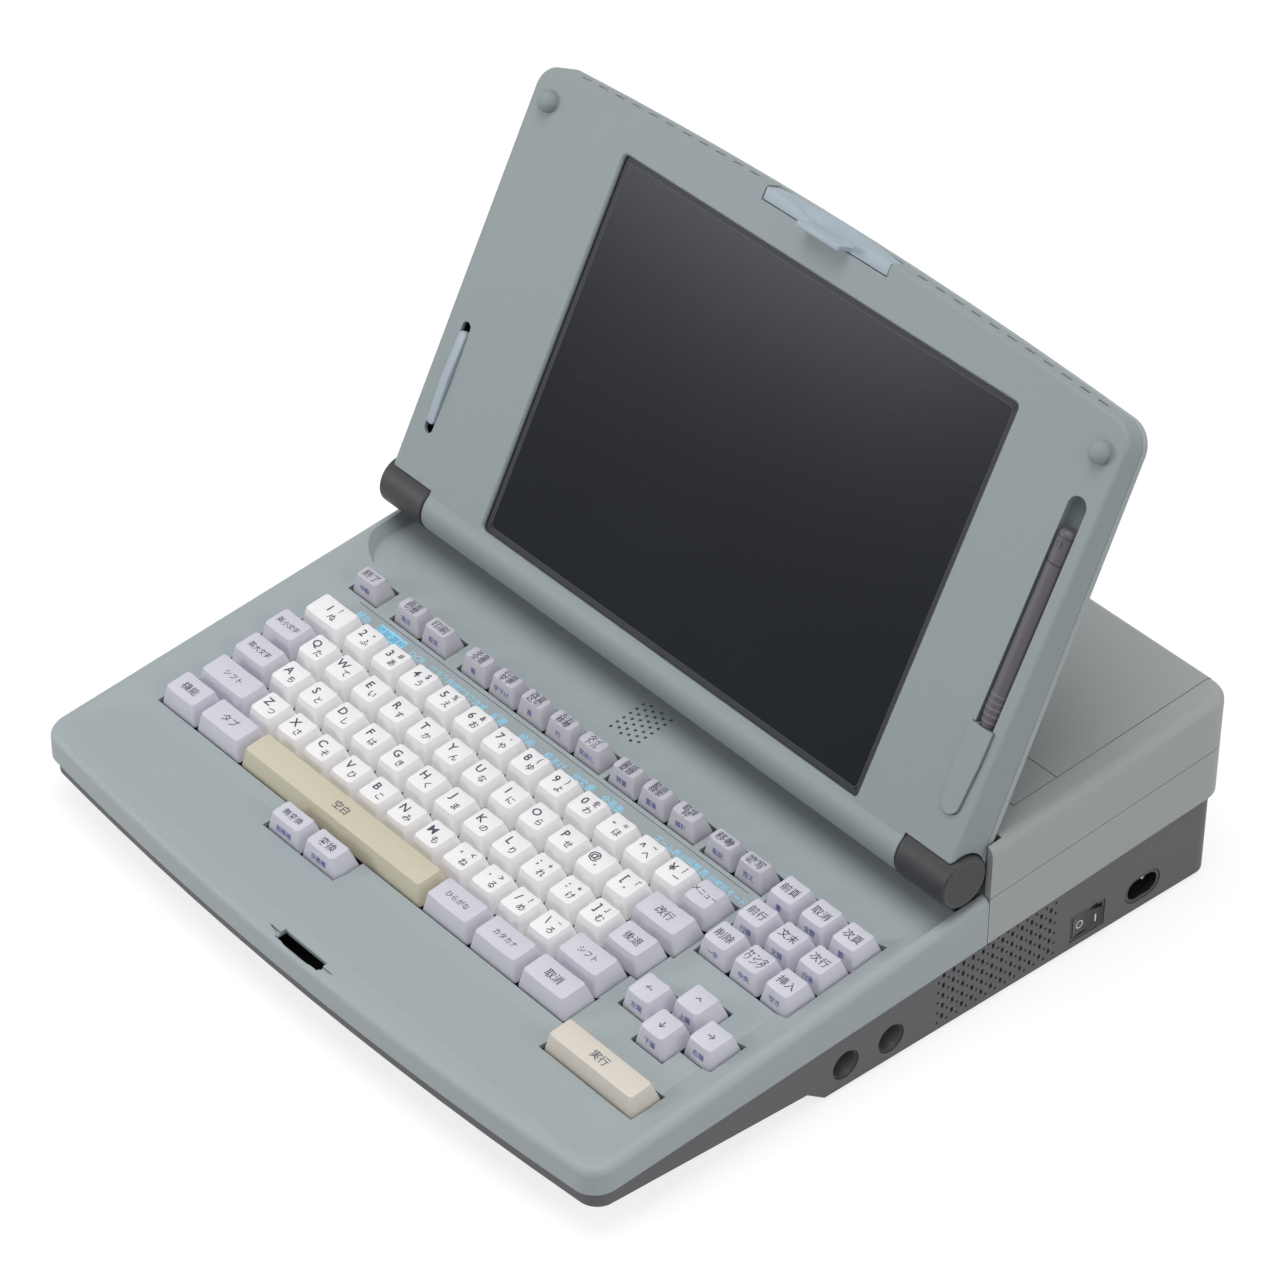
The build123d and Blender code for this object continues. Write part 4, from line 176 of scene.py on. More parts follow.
def moulded(name, colour, drift, rough=0.52, grain=0.35, depth=0.012, edge=0.35, wear_and_highlight=None):
    """Plastic or rubber from an eroded mould: its colour drifts a little with
    age, its grain and the grain's depth (mm) give a satin face, and its edges
    are soft (mm) and may be painted paler: worn edges, and on the latch and
    slider a painted highlight."""
    made, tree = new_material(name)
    place = object_place(tree)
    cloud = add_node(tree, "ShaderNodeTexNoise", {
        "Vector": place, "Scale": 14.0, "Detail": 3.0, "Roughness": 0.6})
    tone = add_node(tree, "ShaderNodeMix", {
        "Factor": cloud.outputs["Fac"], "A": linear(colour), "B": linear(drift)},
        data_type="RGBA")
    speck = add_node(tree, "ShaderNodeTexNoise", {
        "Vector": place, "Scale": 1000 / (3 * grain), "Detail": 2.0})
    specked = add_node(tree, "ShaderNodeMix", {
        "Factor": 0.10, "A": tone.outputs["Result"], "B": speck.outputs["Color"]},
        data_type="RGBA", blend_type="SOFT_LIGHT")
    last = specked.outputs["Result"]
    soft = add_node(tree, "ShaderNodeBevel", {"Radius": edge / 1000}, samples=4)
    # Paler edges where the bevel turns the normal: wear, and on the latch and slider a
    # painted highlight.
    if wear_and_highlight:
        true_face = add_node(tree, "ShaderNodeNewGeometry").outputs["True Normal"]
        turn = add_node(tree, "ShaderNodeVectorMath", {
            0: soft.outputs[0], 1: true_face}, operation="DOT_PRODUCT")
        rubbed_and_highlit = add_node(tree, "ShaderNodeMapRange", {
            "Value": turn.outputs["Value"], "From Min": 0.98, "From Max": 0.80})
        last = add_node(tree, "ShaderNodeMix", {
            "Factor": rubbed_and_highlit.outputs[0], "A": last, "B": linear(wear_and_highlight)},
            data_type="RGBA").outputs["Result"]
    gloss = add_node(tree, "ShaderNodeMapRange", {
        "Value": cloud.outputs["Fac"], "To Min": rough - 0.04, "To Max": rough + 0.05})
    bump = add_node(tree, "ShaderNodeBump", {
        "Strength": 0.35, "Distance": depth / 1000, "Height": speck.outputs["Fac"],
        "Normal": soft.outputs[0]})
    finish_with(tree, last, gloss.outputs[0], IOR=1.50, Normal=bump.outputs[0])
    return made


def give(material, *names):
    """Give CAD nodes their finish."""
    for name in names:
        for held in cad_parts[name].material_slots:
            held.material = material


dark_abs = moulded("abs_dark_grey_eroded", "#504F51", "#585759", rough=0.55, wear_and_highlight="#6E6D70")
give(dark_abs, "base_tray")

# Moulded rubber: matt, dusty, almost no gloss.
foot_rubber = moulded("rubber_grey_moulded", "#3C3B3D", "#454446", rough=0.85, grain=0.6)
give(foot_rubber, "rubber_feet")


def cut_metal(name, colour, drift, rough, grain):
    """Machined, drawn or plated metal, with fine lines of that pitch (mm)
    that spread its reflections."""
    made, tree = new_material(name)
    lines = add_node(tree, "ShaderNodeMapping", {
        "Vector": object_place(tree), "Scale": (40.0, 1000 / grain, 1000 / grain)})
    streak = add_node(tree, "ShaderNodeTexNoise", {
        "Vector": lines.outputs[0], "Scale": 0.4, "Detail": 3.0})
    tone = add_node(tree, "ShaderNodeMix", {
        "Factor": streak.outputs["Fac"], "A": linear(colour), "B": linear(drift)},
        data_type="RGBA")
    gloss = add_node(tree, "ShaderNodeMapRange", {
        "Value": streak.outputs["Fac"], "To Min": rough - 0.06, "To Max": rough + 0.08})
    bump = add_node(tree, "ShaderNodeBump", {
        "Strength": 0.2, "Distance": 0.00001, "Height": streak.outputs["Fac"]})
    finish_with(tree, tone.outputs["Result"], gloss.outputs[0], Metallic=1.0,
                Normal=bump.outputs[0])
    return made


# Zinc-plated steel: cold, pale, with the drawing lines of the wire or sheet.
zinc_steel = cut_metal("steel_zinc_plated", "#B9BBBE", "#A9ABAF", 0.34, 0.4)
give(zinc_steel, "case_screws")


# ------------------------------------------------------ works inside the base
# Two etched circuit boards, the power supply in its folded steel cover, and
# the diskette drive in the left wall with its eject button.
def circuit_board(name):
    """Glass-fibre board under green solder mask: tracks on a 2.54 mm pitch
    show as paler lines between tinned holes."""
    made, tree = new_material(name)
    place = object_place(tree)
    pitches_per_m = 1000 / 2.54
    grid = add_node(tree, "ShaderNodeMapping", {
        "Vector": place, "Scale": (pitches_per_m, pitches_per_m, pitches_per_m)})
    holes = add_node(tree, "ShaderNodeTexVoronoi", {
        "Vector": grid.outputs[0], "Scale": 1.0, "Randomness": 0.0})
    ring = add_node(tree, "ShaderNodeMath", {0: holes.outputs["Distance"], 1: 0.2},
                    operation="LESS_THAN")
    tracks = add_node(tree, "ShaderNodeTexBrick", {
        "Vector": grid.outputs[0], "Scale": 1.0, "Mortar Size": 0.16, "Brick Width": 7.0,
        "Row Height": 1.0, "Mortar Smooth": 0.1, "Color1": linear("#1E4A33"),
        "Color2": linear("#1B442F"), "Mortar": linear("#2F6B49")})
    chosen = add_node(tree, "ShaderNodeTexNoise", {"Vector": place, "Scale": 60.0})
    some = add_node(tree, "ShaderNodeMath", {0: chosen.outputs["Fac"], 1: 0.55},
                    operation="GREATER_THAN")
    tinned = add_node(tree, "ShaderNodeMath", {0: ring.outputs[0], 1: some.outputs[0]},
                      operation="MULTIPLY")
    colour = add_node(tree, "ShaderNodeMix", {
        "Factor": tinned.outputs[0], "A": tracks.outputs["Color"], "B": linear("#B8B9B4")},
        data_type="RGBA")
    gloss = add_node(tree, "ShaderNodeMapRange", {
        "Value": chosen.outputs["Fac"], "To Min": 0.26, "To Max": 0.38})
    bump = add_node(tree, "ShaderNodeBump", {
        "Strength": 0.4, "Distance": 0.00004, "Height": tracks.outputs["Fac"]})
    finish_with(tree, colour.outputs["Result"], gloss.outputs[0], IOR=1.55,
                Normal=bump.outputs[0])
    return made


board_mask = circuit_board("circuit_board_solder_mask")
give(board_mask, "main_board", "switch_board", "inverter_board")


def galvanised(name, spangle):
    """Hot-dip zinc on folded sheet: soft spangles of that size (mm), each a
    little lighter or darker."""
    made, tree = new_material(name)
    crystal = add_node(tree, "ShaderNodeTexVoronoi", {
        "Vector": object_place(tree), "Scale": 1000 / spangle})
    share = add_node(tree, "ShaderNodeSeparateColor", {"Color": crystal.outputs["Color"]})
    tone = add_node(tree, "ShaderNodeMix", {
        "Factor": share.outputs["Red"], "A": linear("#A7AAAD"), "B": linear("#BBBDBF")},
        data_type="RGBA")
    gloss = add_node(tree, "ShaderNodeMapRange", {
        "Value": share.outputs["Green"], "To Min": 0.30, "To Max": 0.46})
    finish_with(tree, tone.outputs["Result"], gloss.outputs[0], Metallic=1.0)
    return made


galvanised_sheet = galvanised("steel_galvanised_sheet", 6.0)
give(galvanised_sheet, "power_supply", "keyboard_plate", "printer_chassis")

drive_abs = moulded("abs_drive_grey_eroded", "#77787A", "#7D7D7E", rough=0.5, wear_and_highlight="#8C8C8E")
give(drive_abs, "diskette_drive")
button_abs = moulded("abs_button_pale_grey", "#A9ADAB", "#AFB1AE", rough=0.42, grain=0.3)
give(button_abs, "eject_button")


# ------------------------------------------------ sockets and switch on the right
# Glass-filled PBT: black, slightly shiny where the mould was polished. Two
# round sockets, the mains inlet with its two pins, and the rocker switch.
black_pbt = moulded("pbt_black_moulded", "#1D1D1F", "#242426", rough=0.36, grain=0.5,
                    depth=0.006, wear_and_highlight="#333336")
give(black_pbt, "connector_jacks", "mains_inlet", "switch_box", "power_rocker")
funnel_pbt = moulded("pbt_dark_grey_funnel", "#343437", "#3B3B3E", rough=0.42, grain=0.5,
                     depth=0.006, wear_and_highlight="#4A4A4D")


def place_piece(name, mesh, body, material, crease=32.0):
    """Make a mesh an object that rides on a CAD body; edges that turn more
    than the crease (degrees) stay sharp."""
    data = bpy.data.meshes.new(name)
    mesh.to_mesh(data)
    mesh.free()
    data.shade_smooth()
    data.set_sharp_from_angle(angle=math.radians(crease))
    data.materials.append(material)
    piece = bpy.data.objects.new(name, data)
    bpy.context.collection.objects.link(piece)
    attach(piece, body)
    return piece


def add_pin(mesh, radius, length, matrix, tip=0.3):
    """A round pin along z with a rounded end, from 0 to its length."""
    pin = bmesh.ops.create_cone(mesh, cap_ends=True, segments=24, radius1=radius,
                                radius2=radius, depth=length)
    bmesh.ops.translate(mesh, verts=pin["verts"], vec=(0, 0, length / 2))
    rim = [e for e in {e for v in pin["verts"] for e in v.link_edges}
           if min(v.co.z for v in e.verts) > length * 0.99]
    round_end = bmesh.ops.bevel(mesh, geom=rim, offset=tip * radius, offset_type="OFFSET",
                                segments=3, profile=0.5, affect="EDGES", material=-1)
    corners = {v for v in pin["verts"] if v.is_valid} | set(round_end["verts"])
    bmesh.ops.transform(mesh, matrix=matrix, verts=list(corners))


# Round sockets: a cone inside a round body leads the plug into the bore.
wall_x = 0.1847
socket_face, socket_back, socket_radius = -0.0006, -0.0146, 0.0070
bore_face, bore_floor, bore_radius = -0.0080, -0.0098, 0.0030
funnel_outline = (
    (socket_back, 0.0), (socket_back, socket_radius), (socket_face, socket_radius),
    (socket_face, 0.0067), (-0.0014, 0.0062), (bore_face, 0.0034),
    (bore_floor, bore_radius), (bore_floor, 0.0))
funnels = bmesh.new()
for socket_y, socket_z in ((-0.0361, 0.0137), (-0.0103, 0.0130)):
    points = [funnels.verts.new((wall_x + depth, socket_y, socket_z + radius))
              for depth, radius in funnel_outline]
    sides = [funnels.edges.new(pair) for pair in zip(points, points[1:])]
    bmesh.ops.spin(funnels, geom=points + sides, cent=(wall_x, socket_y, socket_z),
                   axis=(1, 0, 0), angle=2 * math.pi, steps=48, use_merge=True)
bmesh.ops.remove_doubles(funnels, verts=funnels.verts, dist=1e-6)
bmesh.ops.recalc_face_normals(funnels, faces=funnels.faces)
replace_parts(place_piece("socket_funnels", funnels, "case", funnel_pbt),
            "connector_jacks")

# Nickel-plated brass pins, a little warmer than steel.
pin_nickel = cut_metal("brass_nickel_plated", "#CFCBC2", "#C2BDB3", 0.24, 0.3)
inlet_y, inlet_z = 0.1385, 0.0134
pin_radius, pin_length, pin_root, pin_offset = 0.00125, 0.0112, 0.0150, 0.0043
outwards = Matrix.Rotation(math.radians(90), 4, "Y")
inlet_pins = bmesh.new()
for side in (-1, 1):
    add_pin(inlet_pins, pin_radius, pin_length, Matrix.Translation(
        (wall_x - pin_root, inlet_y + side * pin_offset, inlet_z)) @ outwards)
place_piece("inlet_pins", inlet_pins, "case", pin_nickel)


def ink(name, colour, drift, rough=0.55, cloud_scale=2500.0):
    """Thin printed ink: matt, a little uneven from the pad or the screen."""
    made, tree = new_material(name)
    cloud = add_node(tree, "ShaderNodeTexNoise", {
        "Vector": object_place(tree), "Scale": cloud_scale, "Detail": 2.0})
    tone = add_node(tree, "ShaderNodeMix", {
        "Factor": cloud.outputs["Fac"], "A": linear(colour), "B": linear(drift)},
        data_type="RGBA")
    finish_with(tree, tone.outputs["Result"], rough, IOR=1.48)
    return made


def project_on(node, mesh, direction, lift):
    """Move a flat mesh along a direction until it lies on a CAD node."""
    carrier = bmesh.new()
    carrier.from_mesh(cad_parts[node].data)
    bmesh.ops.remove_doubles(carrier, verts=carrier.verts, dist=1e-6)
    tree = BVHTree.FromBMesh(carrier)
    for corner in mesh.verts:
        hit = tree.ray_cast(corner.co, direction)[0]
        corner.co = hit - direction * lift
    carrier.free()


# White marks pad-printed on the rocker: a circle for off, a bar for on.
white_ink = ink("ink_white_pad_printed", "#D9D9D6", "#E8E8E5", rough=0.5,
                cloud_scale=3000.0)
rocker_y, rocker_z, mark_reach = 0.105, 0.0126, 0.0042
mark_radius, mark_line, bar_line = 0.0021, 0.0005, 0.0006
ink_film = 0.00004
marks = bmesh.new()
bmesh.ops.create_circle(marks, cap_ends=True, segments=32, radius=mark_radius)
bmesh.ops.inset_individual(marks, faces=list(marks.faces), thickness=mark_line)
bmesh.ops.delete(marks, geom=[f for f in marks.faces if len(f.verts) > 4], context="FACES")
bmesh.ops.translate(marks, verts=marks.verts, vec=(-mark_reach, 0, 0))
bar = bmesh.ops.create_grid(marks, x_segments=1, y_segments=1, size=0.5)
bmesh.ops.scale(marks, verts=bar["verts"], vec=(bar_line, 2 * mark_radius, 1))
bmesh.ops.translate(marks, verts=bar["verts"], vec=(mark_reach, 0, 0))
beside_rocker = Matrix(
    ((0, 0, 1, 0.2), (1, 0, 0, rocker_y), (0, 1, 0, rocker_z), (0, 0, 0, 1)))
bmesh.ops.transform(marks, matrix=beside_rocker, verts=marks.verts)
project_on("power_rocker", marks, Vector((-1, 0, 0)), ink_film)
place_piece("rocker_marks", marks, "power_rocker", white_ink)


# ---------------------------------------------------------- keyboard and its deck
# A board with the switches on a steel plate, a dark frame between the keys,
# and the deck: grey-green ABS, eroded texture, a bit yellowed by light.
case_abs = moulded("abs_grey_green_eroded", "#939DA1", "#99A1A1", wear_and_highlight="#ABB5B7")
give(case_abs, "keyboard_deck")
frame_pbt = moulded("pbt_key_frame_grey", "#5C6064", "#64676A", rough=0.6, grain=0.5)
give(frame_pbt, "key_frame")

# Speaker: pressed paper cone in a steel basket, seen through the small holes.
cone_paper = moulded("paper_pulp_cone_black", "#242322", "#2D2B29", rough=0.9, grain=0.8,
                     depth=0.03)
give(cone_paper, "speaker")


# ---------------------------------------------------------------- key caps
# Double-shot ABS caps on round plungers: tapered sides, a top dished from side
# to side, rounded rims. White for letters, grey for commands, beige for space.
deck_tilt = math.radians(6.63)
deck_frame = Matrix.Translation((0, -0.1755, 0.0376)) @ Matrix.Rotation(deck_tilt, 4, "X")
to_deck = deck_frame.inverted()
seat_n = -0.0065                           # underside of the caps, off the deck's face
cap_height, cap_lean = 0.0105, math.tan(math.radians(13))
cap_corner, cap_rim = 0.0015, 0.0005
cap_dish, longest_dished = 0.00055, 0.05
plunger_radius, plunger_depth = 0.003, 0.0055


def islands(node):
    """The separate closed shells of a CAD node, as lists of corner points."""
    merged = bmesh.new()
    merged.from_mesh(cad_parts[node].data)
    bmesh.ops.remove_doubles(merged, verts=merged.verts, dist=1e-6)
    left = set(merged.verts)
    shells = []
    while left:
        open_ends = [left.pop()]
        shell = []
        while open_ends:
            here = open_ends.pop()
            shell.append(here.co.copy())
            for edge in here.link_edges:
                other = edge.other_vert(here)
                if other in left:
                    left.remove(other)
                    open_ends.append(other)
        shells.append(shell)
    merged.free()
    return shells


def key_places(node):
    """Middle and size of each key of a bank on the deck: x, v, width, depth."""
    places = []
    for shell in islands(node):
        local = [to_deck @ point for point in shell]
        seat = [p for p in local if abs(p.z - seat_n) < 0.0002]
        low_x, high_x = min(p.x for p in seat), max(p.x for p in seat)
        low_v, high_v = min(p.y for p in seat), max(p.y for p in seat)
        places.append(((low_x + high_x) / 2, (low_v + high_v) / 2, high_x - low_x,
                       high_v - low_v))
    return sorted(places, key=lambda p: (round(-p[1], 3), p[0]))


def dish(x, width):
    """Depth of the dished top under its side rims."""
    half = width / 2 - cap_height * cap_lean
    return cap_dish * max(0.0, 1 - (x / half) ** 2)


def join_into(mesh, part):
    """Add a finished mesh to another, and free it."""
    joined = bpy.data.meshes.new("joined")
    part.to_mesh(joined)
    part.free()
    mesh.from_mesh(joined)
    bpy.data.meshes.remove(joined)


def add_cap(mesh, x, v, width, depth, scooped=True):
    """One key cap with its plunger, in deck coordinates."""
    cap = bmesh.new()
    bmesh.ops.create_cube(cap, size=1.0)
    shrink_x = (width - 2 * cap_height * cap_lean) / width
    shrink_v = (depth - 2 * cap_height * cap_lean) / depth
    for corner in cap.verts:
        upper = corner.co.z > 0
        corner.co.x *= width * (shrink_x if upper else 1)
        corner.co.y *= depth * (shrink_v if upper else 1)
        corner.co.z = cap_height if upper else 0.0
    across = [e for e in cap.edges if abs(e.verts[0].co.x - e.verts[1].co.x) > width / 2]
    bmesh.ops.subdivide_edges(cap, edges=across, cuts=7, use_grid_fill=True)
    if scooped:
        for corner in cap.verts:
            if corner.co.z > cap_height / 2:
                corner.co.z -= dish(corner.co.x, width)
    upright = [e for e in cap.edges if abs(e.verts[0].co.z - e.verts[1].co.z) > cap_height / 2
               and abs(e.verts[0].co.x) > width / 2 - cap_height * cap_lean - 1e-5]
    bmesh.ops.bevel(cap, geom=upright, offset=cap_corner, offset_type="OFFSET", segments=3,
                    profile=0.5, affect="EDGES", material=-1, clamp_overlap=True)
    rim = [e for e in cap.edges if len(e.link_faces) == 2
           and min(v.co.z for v in e.verts) > cap_height * 0.8
           and e.calc_face_angle(0) > math.radians(40)]
    bmesh.ops.bevel(cap, geom=rim, offset=cap_rim, offset_type="OFFSET", segments=2,
                    profile=0.5, affect="EDGES", material=-1, clamp_overlap=True)
    plunger = bmesh.ops.create_cone(cap, cap_ends=True, segments=20, radius1=plunger_radius,
                                    radius2=plunger_radius, depth=plunger_depth)
    bmesh.ops.translate(cap, verts=plunger["verts"], vec=(0, 0, -plunger_depth / 2))
    bmesh.ops.translate(cap, verts=cap.verts, vec=(x, v, seat_n))
    join_into(mesh, cap)


white_cap = moulded("abs_key_white", "#E4E2E3", "#E8E6E6", rough=0.42, grain=0.25,
                    edge=0.2)
grey_cap = moulded("abs_key_grey", "#C3C3CE", "#C9C7CF", rough=0.45, grain=0.25, edge=0.2)
slate_cap = moulded("abs_key_slate", "#B4B2BB", "#BAB8BE", rough=0.45, grain=0.25, edge=0.2)
beige_cap = moulded("abs_key_beige", "#BFB9A2", "#C6C0AA", rough=0.45, grain=0.25, edge=0.2)
cream_cap = moulded("abs_key_cream", "#CBC3B8", "#D1CABF", rough=0.45, grain=0.25, edge=0.2)

key_finish = {
    "number_keys": (white_cap, "key_white"), "upper_keys": (white_cap, "key_white"),
    "home_keys": (white_cap, "key_white"), "lower_keys": (white_cap, "key_white"),
    "command_keys": (grey_cap, "key_grey"), "convert_keys": (grey_cap, "key_grey"),
    "function_keys": (slate_cap, "key_grey"), "pad_keys": (grey_cap, "key_grey"),
    "arrow_keys": (grey_cap, "key_grey"), "space_bar": (beige_cap, "key_beige"),
    "execute_key": (cream_cap, "key_beige"), "return_key": (grey_cap, "key_grey"),
    "backspace_key": (grey_cap, "key_grey"), "shift_key_left": (grey_cap, "key_grey"),
    "shift_key_right": (grey_cap, "key_grey"),
}
bank_keys = {}
for bank, (material, slot) in key_finish.items():
    bank_keys[bank] = key_places(bank)
    caps = bmesh.new()
    for x, v, width, depth in bank_keys[bank]:
        add_cap(caps, x, v, width, depth, scooped=width < longest_dished)
    bmesh.ops.transform(caps, matrix=deck_frame, verts=caps.verts)
    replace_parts(place_piece(bank + "_caps", caps, bank, material), bank)


# ------------------------------------------------------------- legends on the keys
# Pad-printed ink, dark blue-grey on the tops and violet on the fronts: the
# letter at the left, its shifted sign and its kana at the right.
def word(text, size, bold=0.00003):
    """Words as a flat mesh in x and y, centred; size is the letter body."""
    curve = bpy.data.curves.new("word", "FONT")
    curve.body = text
    curve.size = size
    curve.align_x = "CENTER"
    curve.resolution_u = 2
    curve.offset = bold
    curve.space_line = 0.72
    lettering = bpy.data.objects.new("word", curve)
    bpy.context.collection.objects.link(lettering)
    graph = bpy.context.evaluated_depsgraph_get()
    flat = bpy.data.meshes.new_from_object(lettering.evaluated_get(graph))
    bpy.data.objects.remove(lettering)
    bpy.data.curves.remove(curve)
    rise = [v.co.y for v in flat.vertices]
    shift = -(max(rise) + min(rise)) / 2
    flat.transform(Matrix.Translation((0, shift, 0)))
    return flat


ink_lift = 0.00006


def print_on_top(mesh, text, size, key, offset=(0.0, 0.0), bold=0.00003):
    """Print words on the top of a key, which is dished unless it is long."""
    x, v, width, depth = key
    flat = word(text, size, bold)
    for corner in flat.vertices:
        across = corner.co.x + offset[0]
        drop = dish(across, width) if width < longest_dished else 0.0
        corner.co = (x + across, v + corner.co.y + offset[1],
                     seat_n + cap_height - drop + ink_lift)
    mesh.from_mesh(flat)
    bpy.data.meshes.remove(flat)


def print_on_front(mesh, text, size, key, height=0.0052):
    """Print words on the sloping front of a key."""
    x, v, width, depth = key
    lean = math.atan(cap_lean)
    flat = word(text, size, bold=0.00002)
    for corner in flat.vertices:
        up = corner.co.y + height
        corner.co = (x + corner.co.x,
                     v - depth / 2 + up * math.sin(lean) - ink_lift * math.cos(lean),
                     seat_n + up * math.cos(lean) + ink_lift * math.sin(lean))
    mesh.from_mesh(flat)
    bpy.data.meshes.remove(flat)


key_ink = ink("ink_blue_grey_pad_printed", "#3A3A4A", "#444455")
violet_ink = ink("ink_violet_pad_printed", "#5A5FA8", "#656AAE")
letter_size, sign_size, kana_size = 0.0058, 0.0042, 0.0046
letter_bold, sign_bold, kana_bold = 0.00010, 0.00007, 0.00006
letter_offset, sign_offset, kana_offset = (
    (-0.0027, 0.0012), (0.0027, 0.0031), (0.0026, -0.0022))
word_size, small_size, long_size, front_size = 0.0050, 0.0040, 0.0036, 0.0034
lettered = {
    "number_keys": "1!ぬ 2\"ふ 3#あ 4$う 5%え 6&お 7'や 8(ゆ 9)よ 0をわ -=ほ ^~へ ¥|ー",
    "upper_keys": "Q た W て E い R す T か Y ん U な I に O ら P せ @ ゛ [「゜",
    "home_keys": "A ち S と D し F は G き H く J ま K の L り ;+れ :*け ]」む",
    "lower_keys": "Z つ X さ C そ V ひ B こ N み M も ,<ね .>る /?め \\_ろ",
}
worded = {
    "command_keys": "メニュー 英小文字 英大文字 機能 タブ ひらがな カタカナ 取消",
    "convert_keys": "無変換 変換", "return_key": "改行", "backspace_key": "後退",
    "shift_key_left": "シフト", "shift_key_right": "シフト", "space_bar": "空白",
    "execute_key": "実行", "arrow_keys": "↑ ← → ↓",
    "function_keys": "終了 画面/切替 印刷 半角/全角 行頭/変更 改頁/区切 左右/移動 タイ/トル "
                     "単語/登録 範囲/検索 罫線/枠 移動 複写",
    "pad_keys": "前頁 取消 次頁 前行 文末 次行 削除 センタ/リング 挿入",
}
fronted = {
    "function_keys": "中断 表示 設定 幅 字下げ 頁 行 見出し 辞書 置換 線種 転記 控え",
    "pad_keys": "章 全部 節 行頭 文頭 行末 一字 中央 空き",
    "arrow_keys": "上端 左端 右端 下端",
    "convert_keys": "前候補 次候補",
}


def place_legends(bank, suffix, legends, material):
    """Set a bank's legends on the deck, to ride with its keys."""
    bmesh.ops.transform(legends, matrix=deck_frame, verts=legends.verts)
    place_piece(bank + suffix, legends, bank, material)


for bank, text in lettered.items():
    legends = bmesh.new()
    glyphs = [text[at:at + 3] for at in range(0, len(text), 4)]
    for key, (letter, sign, kana) in zip(bank_keys[bank], glyphs):
        print_on_top(legends, letter, letter_size, key, letter_offset, letter_bold)
        if sign != " ":
            print_on_top(legends, sign, sign_size, key, sign_offset, sign_bold)
        print_on_top(legends, kana, kana_size, key, kana_offset, kana_bold)
    place_legends(bank, "_legends", legends, key_ink)
for bank, text in worded.items():
    legends = bmesh.new()
    for key, words in zip(bank_keys[bank], text.split()):
        lines = words.split("/")
        if len(lines) == 1 and len(words) > 3:
            size = long_size
        else:
            size = small_size if len(words) > 2 else word_size
        print_on_top(legends, "\n".join(lines), size, key)
    place_legends(bank, "_legends", legends, key_ink)
for bank, text in fronted.items():
    legends = bmesh.new()
    for key, words in zip(bank_keys[bank], text.split()):
        print_on_front(legends, words, front_size, key)
    place_legends(bank, "_front_legends", legends, violet_ink)


# ------------------------------------------------------------- labels on the deck
# Pale cyan ink, screen-printed on the sunk field just behind the number keys,
# a word for nearly each key. The second stands in a filled box, in darker ink.
cyan_ink = ink("ink_cyan_screen_printed", "#8CCBE8", "#98D2EC")
boxed_ink = ink("ink_grey_blue_screen_printed", "#5F9DB8", "#69A5BE")
field_n, label_v = -0.005, 0.1475
label_size, long_label_size, label_bold = 0.0046, 0.0040, 0.00005
label_words = ("補助 機能選択 OCR グラフ作成 グラフ合成 縦書 絵画 枠あけ 他文書 全画面 ズーム表示 "
               "回覧表示 図形モード").split()
label_places = (0, 1, 2, 3, 4, 5, 6, 7, 8, 9, 11, 12, 13)
boxed_place = 1
box_x = bank_keys["function_keys"][1][0]
label_pitch = bank_keys["number_keys"][2][0] - bank_keys["number_keys"][1][0]
labels, boxed = bmesh.new(), bmesh.new()
for place, words in zip(label_places, label_words):
    flat = word(words, label_size if len(words) < 5 else long_label_size, label_bold)
    flat.transform(Matrix.Translation(
        (box_x + (place - boxed_place) * label_pitch, label_v, field_n + ink_lift)))
    (boxed if place == boxed_place else labels).from_mesh(flat)
    bpy.data.meshes.remove(flat)
for name, sheet, material in (("deck_labels", labels, cyan_ink),
                              ("deck_boxed_label", boxed, boxed_ink)):
    bmesh.ops.transform(sheet, matrix=deck_frame, verts=sheet.verts)
    place_piece(name, sheet, "case", material)


def rounded_sheet(width, height, corner, segments):
    """A flat sheet in x and y, centred, with rounded corners."""
    sheet = bmesh.new()
    bmesh.ops.create_grid(sheet, x_segments=1, y_segments=1, size=0.5)
    bmesh.ops.scale(sheet, verts=sheet.verts, vec=(width, height, 1))
    bmesh.ops.bevel(sheet, geom=list(sheet.verts), offset=corner, offset_type="OFFSET",
                    segments=segments, profile=0.5, affect="VERTICES", material=-1)
    return sheet


box = rounded_sheet(0.0188, 0.0062, 0.0008, 3)
bmesh.ops.translate(box, verts=box.verts, vec=(box_x, label_v, field_n + ink_lift / 2))
bmesh.ops.transform(box, matrix=deck_frame, verts=box.verts)
place_piece("deck_label_box", box, "case", cyan_ink)


# ------------------------------------------------------- printer under the covers
# Galvanised chassis, two ground rods, a rubber platen on a steel shaft with an
# acetal gear, stepping motors, and the carriage with its head and ribbon.
ground_steel = cut_metal("steel_ground_bright", "#C6C7C9", "#B8B9BC", 0.20, 0.15)
give(ground_steel, "guide_rods", "platen_shaft", "hinge_pins")
motor_steel = cut_metal("steel_motor_can_drawn", "#8F9194", "#828488", 0.38, 0.6)
give(motor_steel, "feed_motor", "carriage_motor")

# Ground nitrile rubber: matt black, with fine rings from the grinding wheel.
platen_rubber, tree = new_material("rubber_nitrile_ground")
rings = add_node(tree, "ShaderNodeTexWave", {
    "Vector": object_place(tree), "Scale": 1000 / (2 * math.pi * 0.8), "Distortion": 1.5,
    "Detail": 2.0}, bands_direction="X")
rubber_tone = add_node(tree, "ShaderNodeMix", {
    "Factor": rings.outputs["Fac"], "A": linear("#1E1E1F"), "B": linear("#29292A")},
    data_type="RGBA")
rubber_bump = add_node(tree, "ShaderNodeBump", {
    "Strength": 0.3, "Distance": 0.00002, "Height": rings.outputs["Fac"]})
finish_with(tree, rubber_tone.outputs["Result"], 0.72, IOR=1.52,
            Normal=rubber_bump.outputs[0])
give(platen_rubber, "platen_roller")

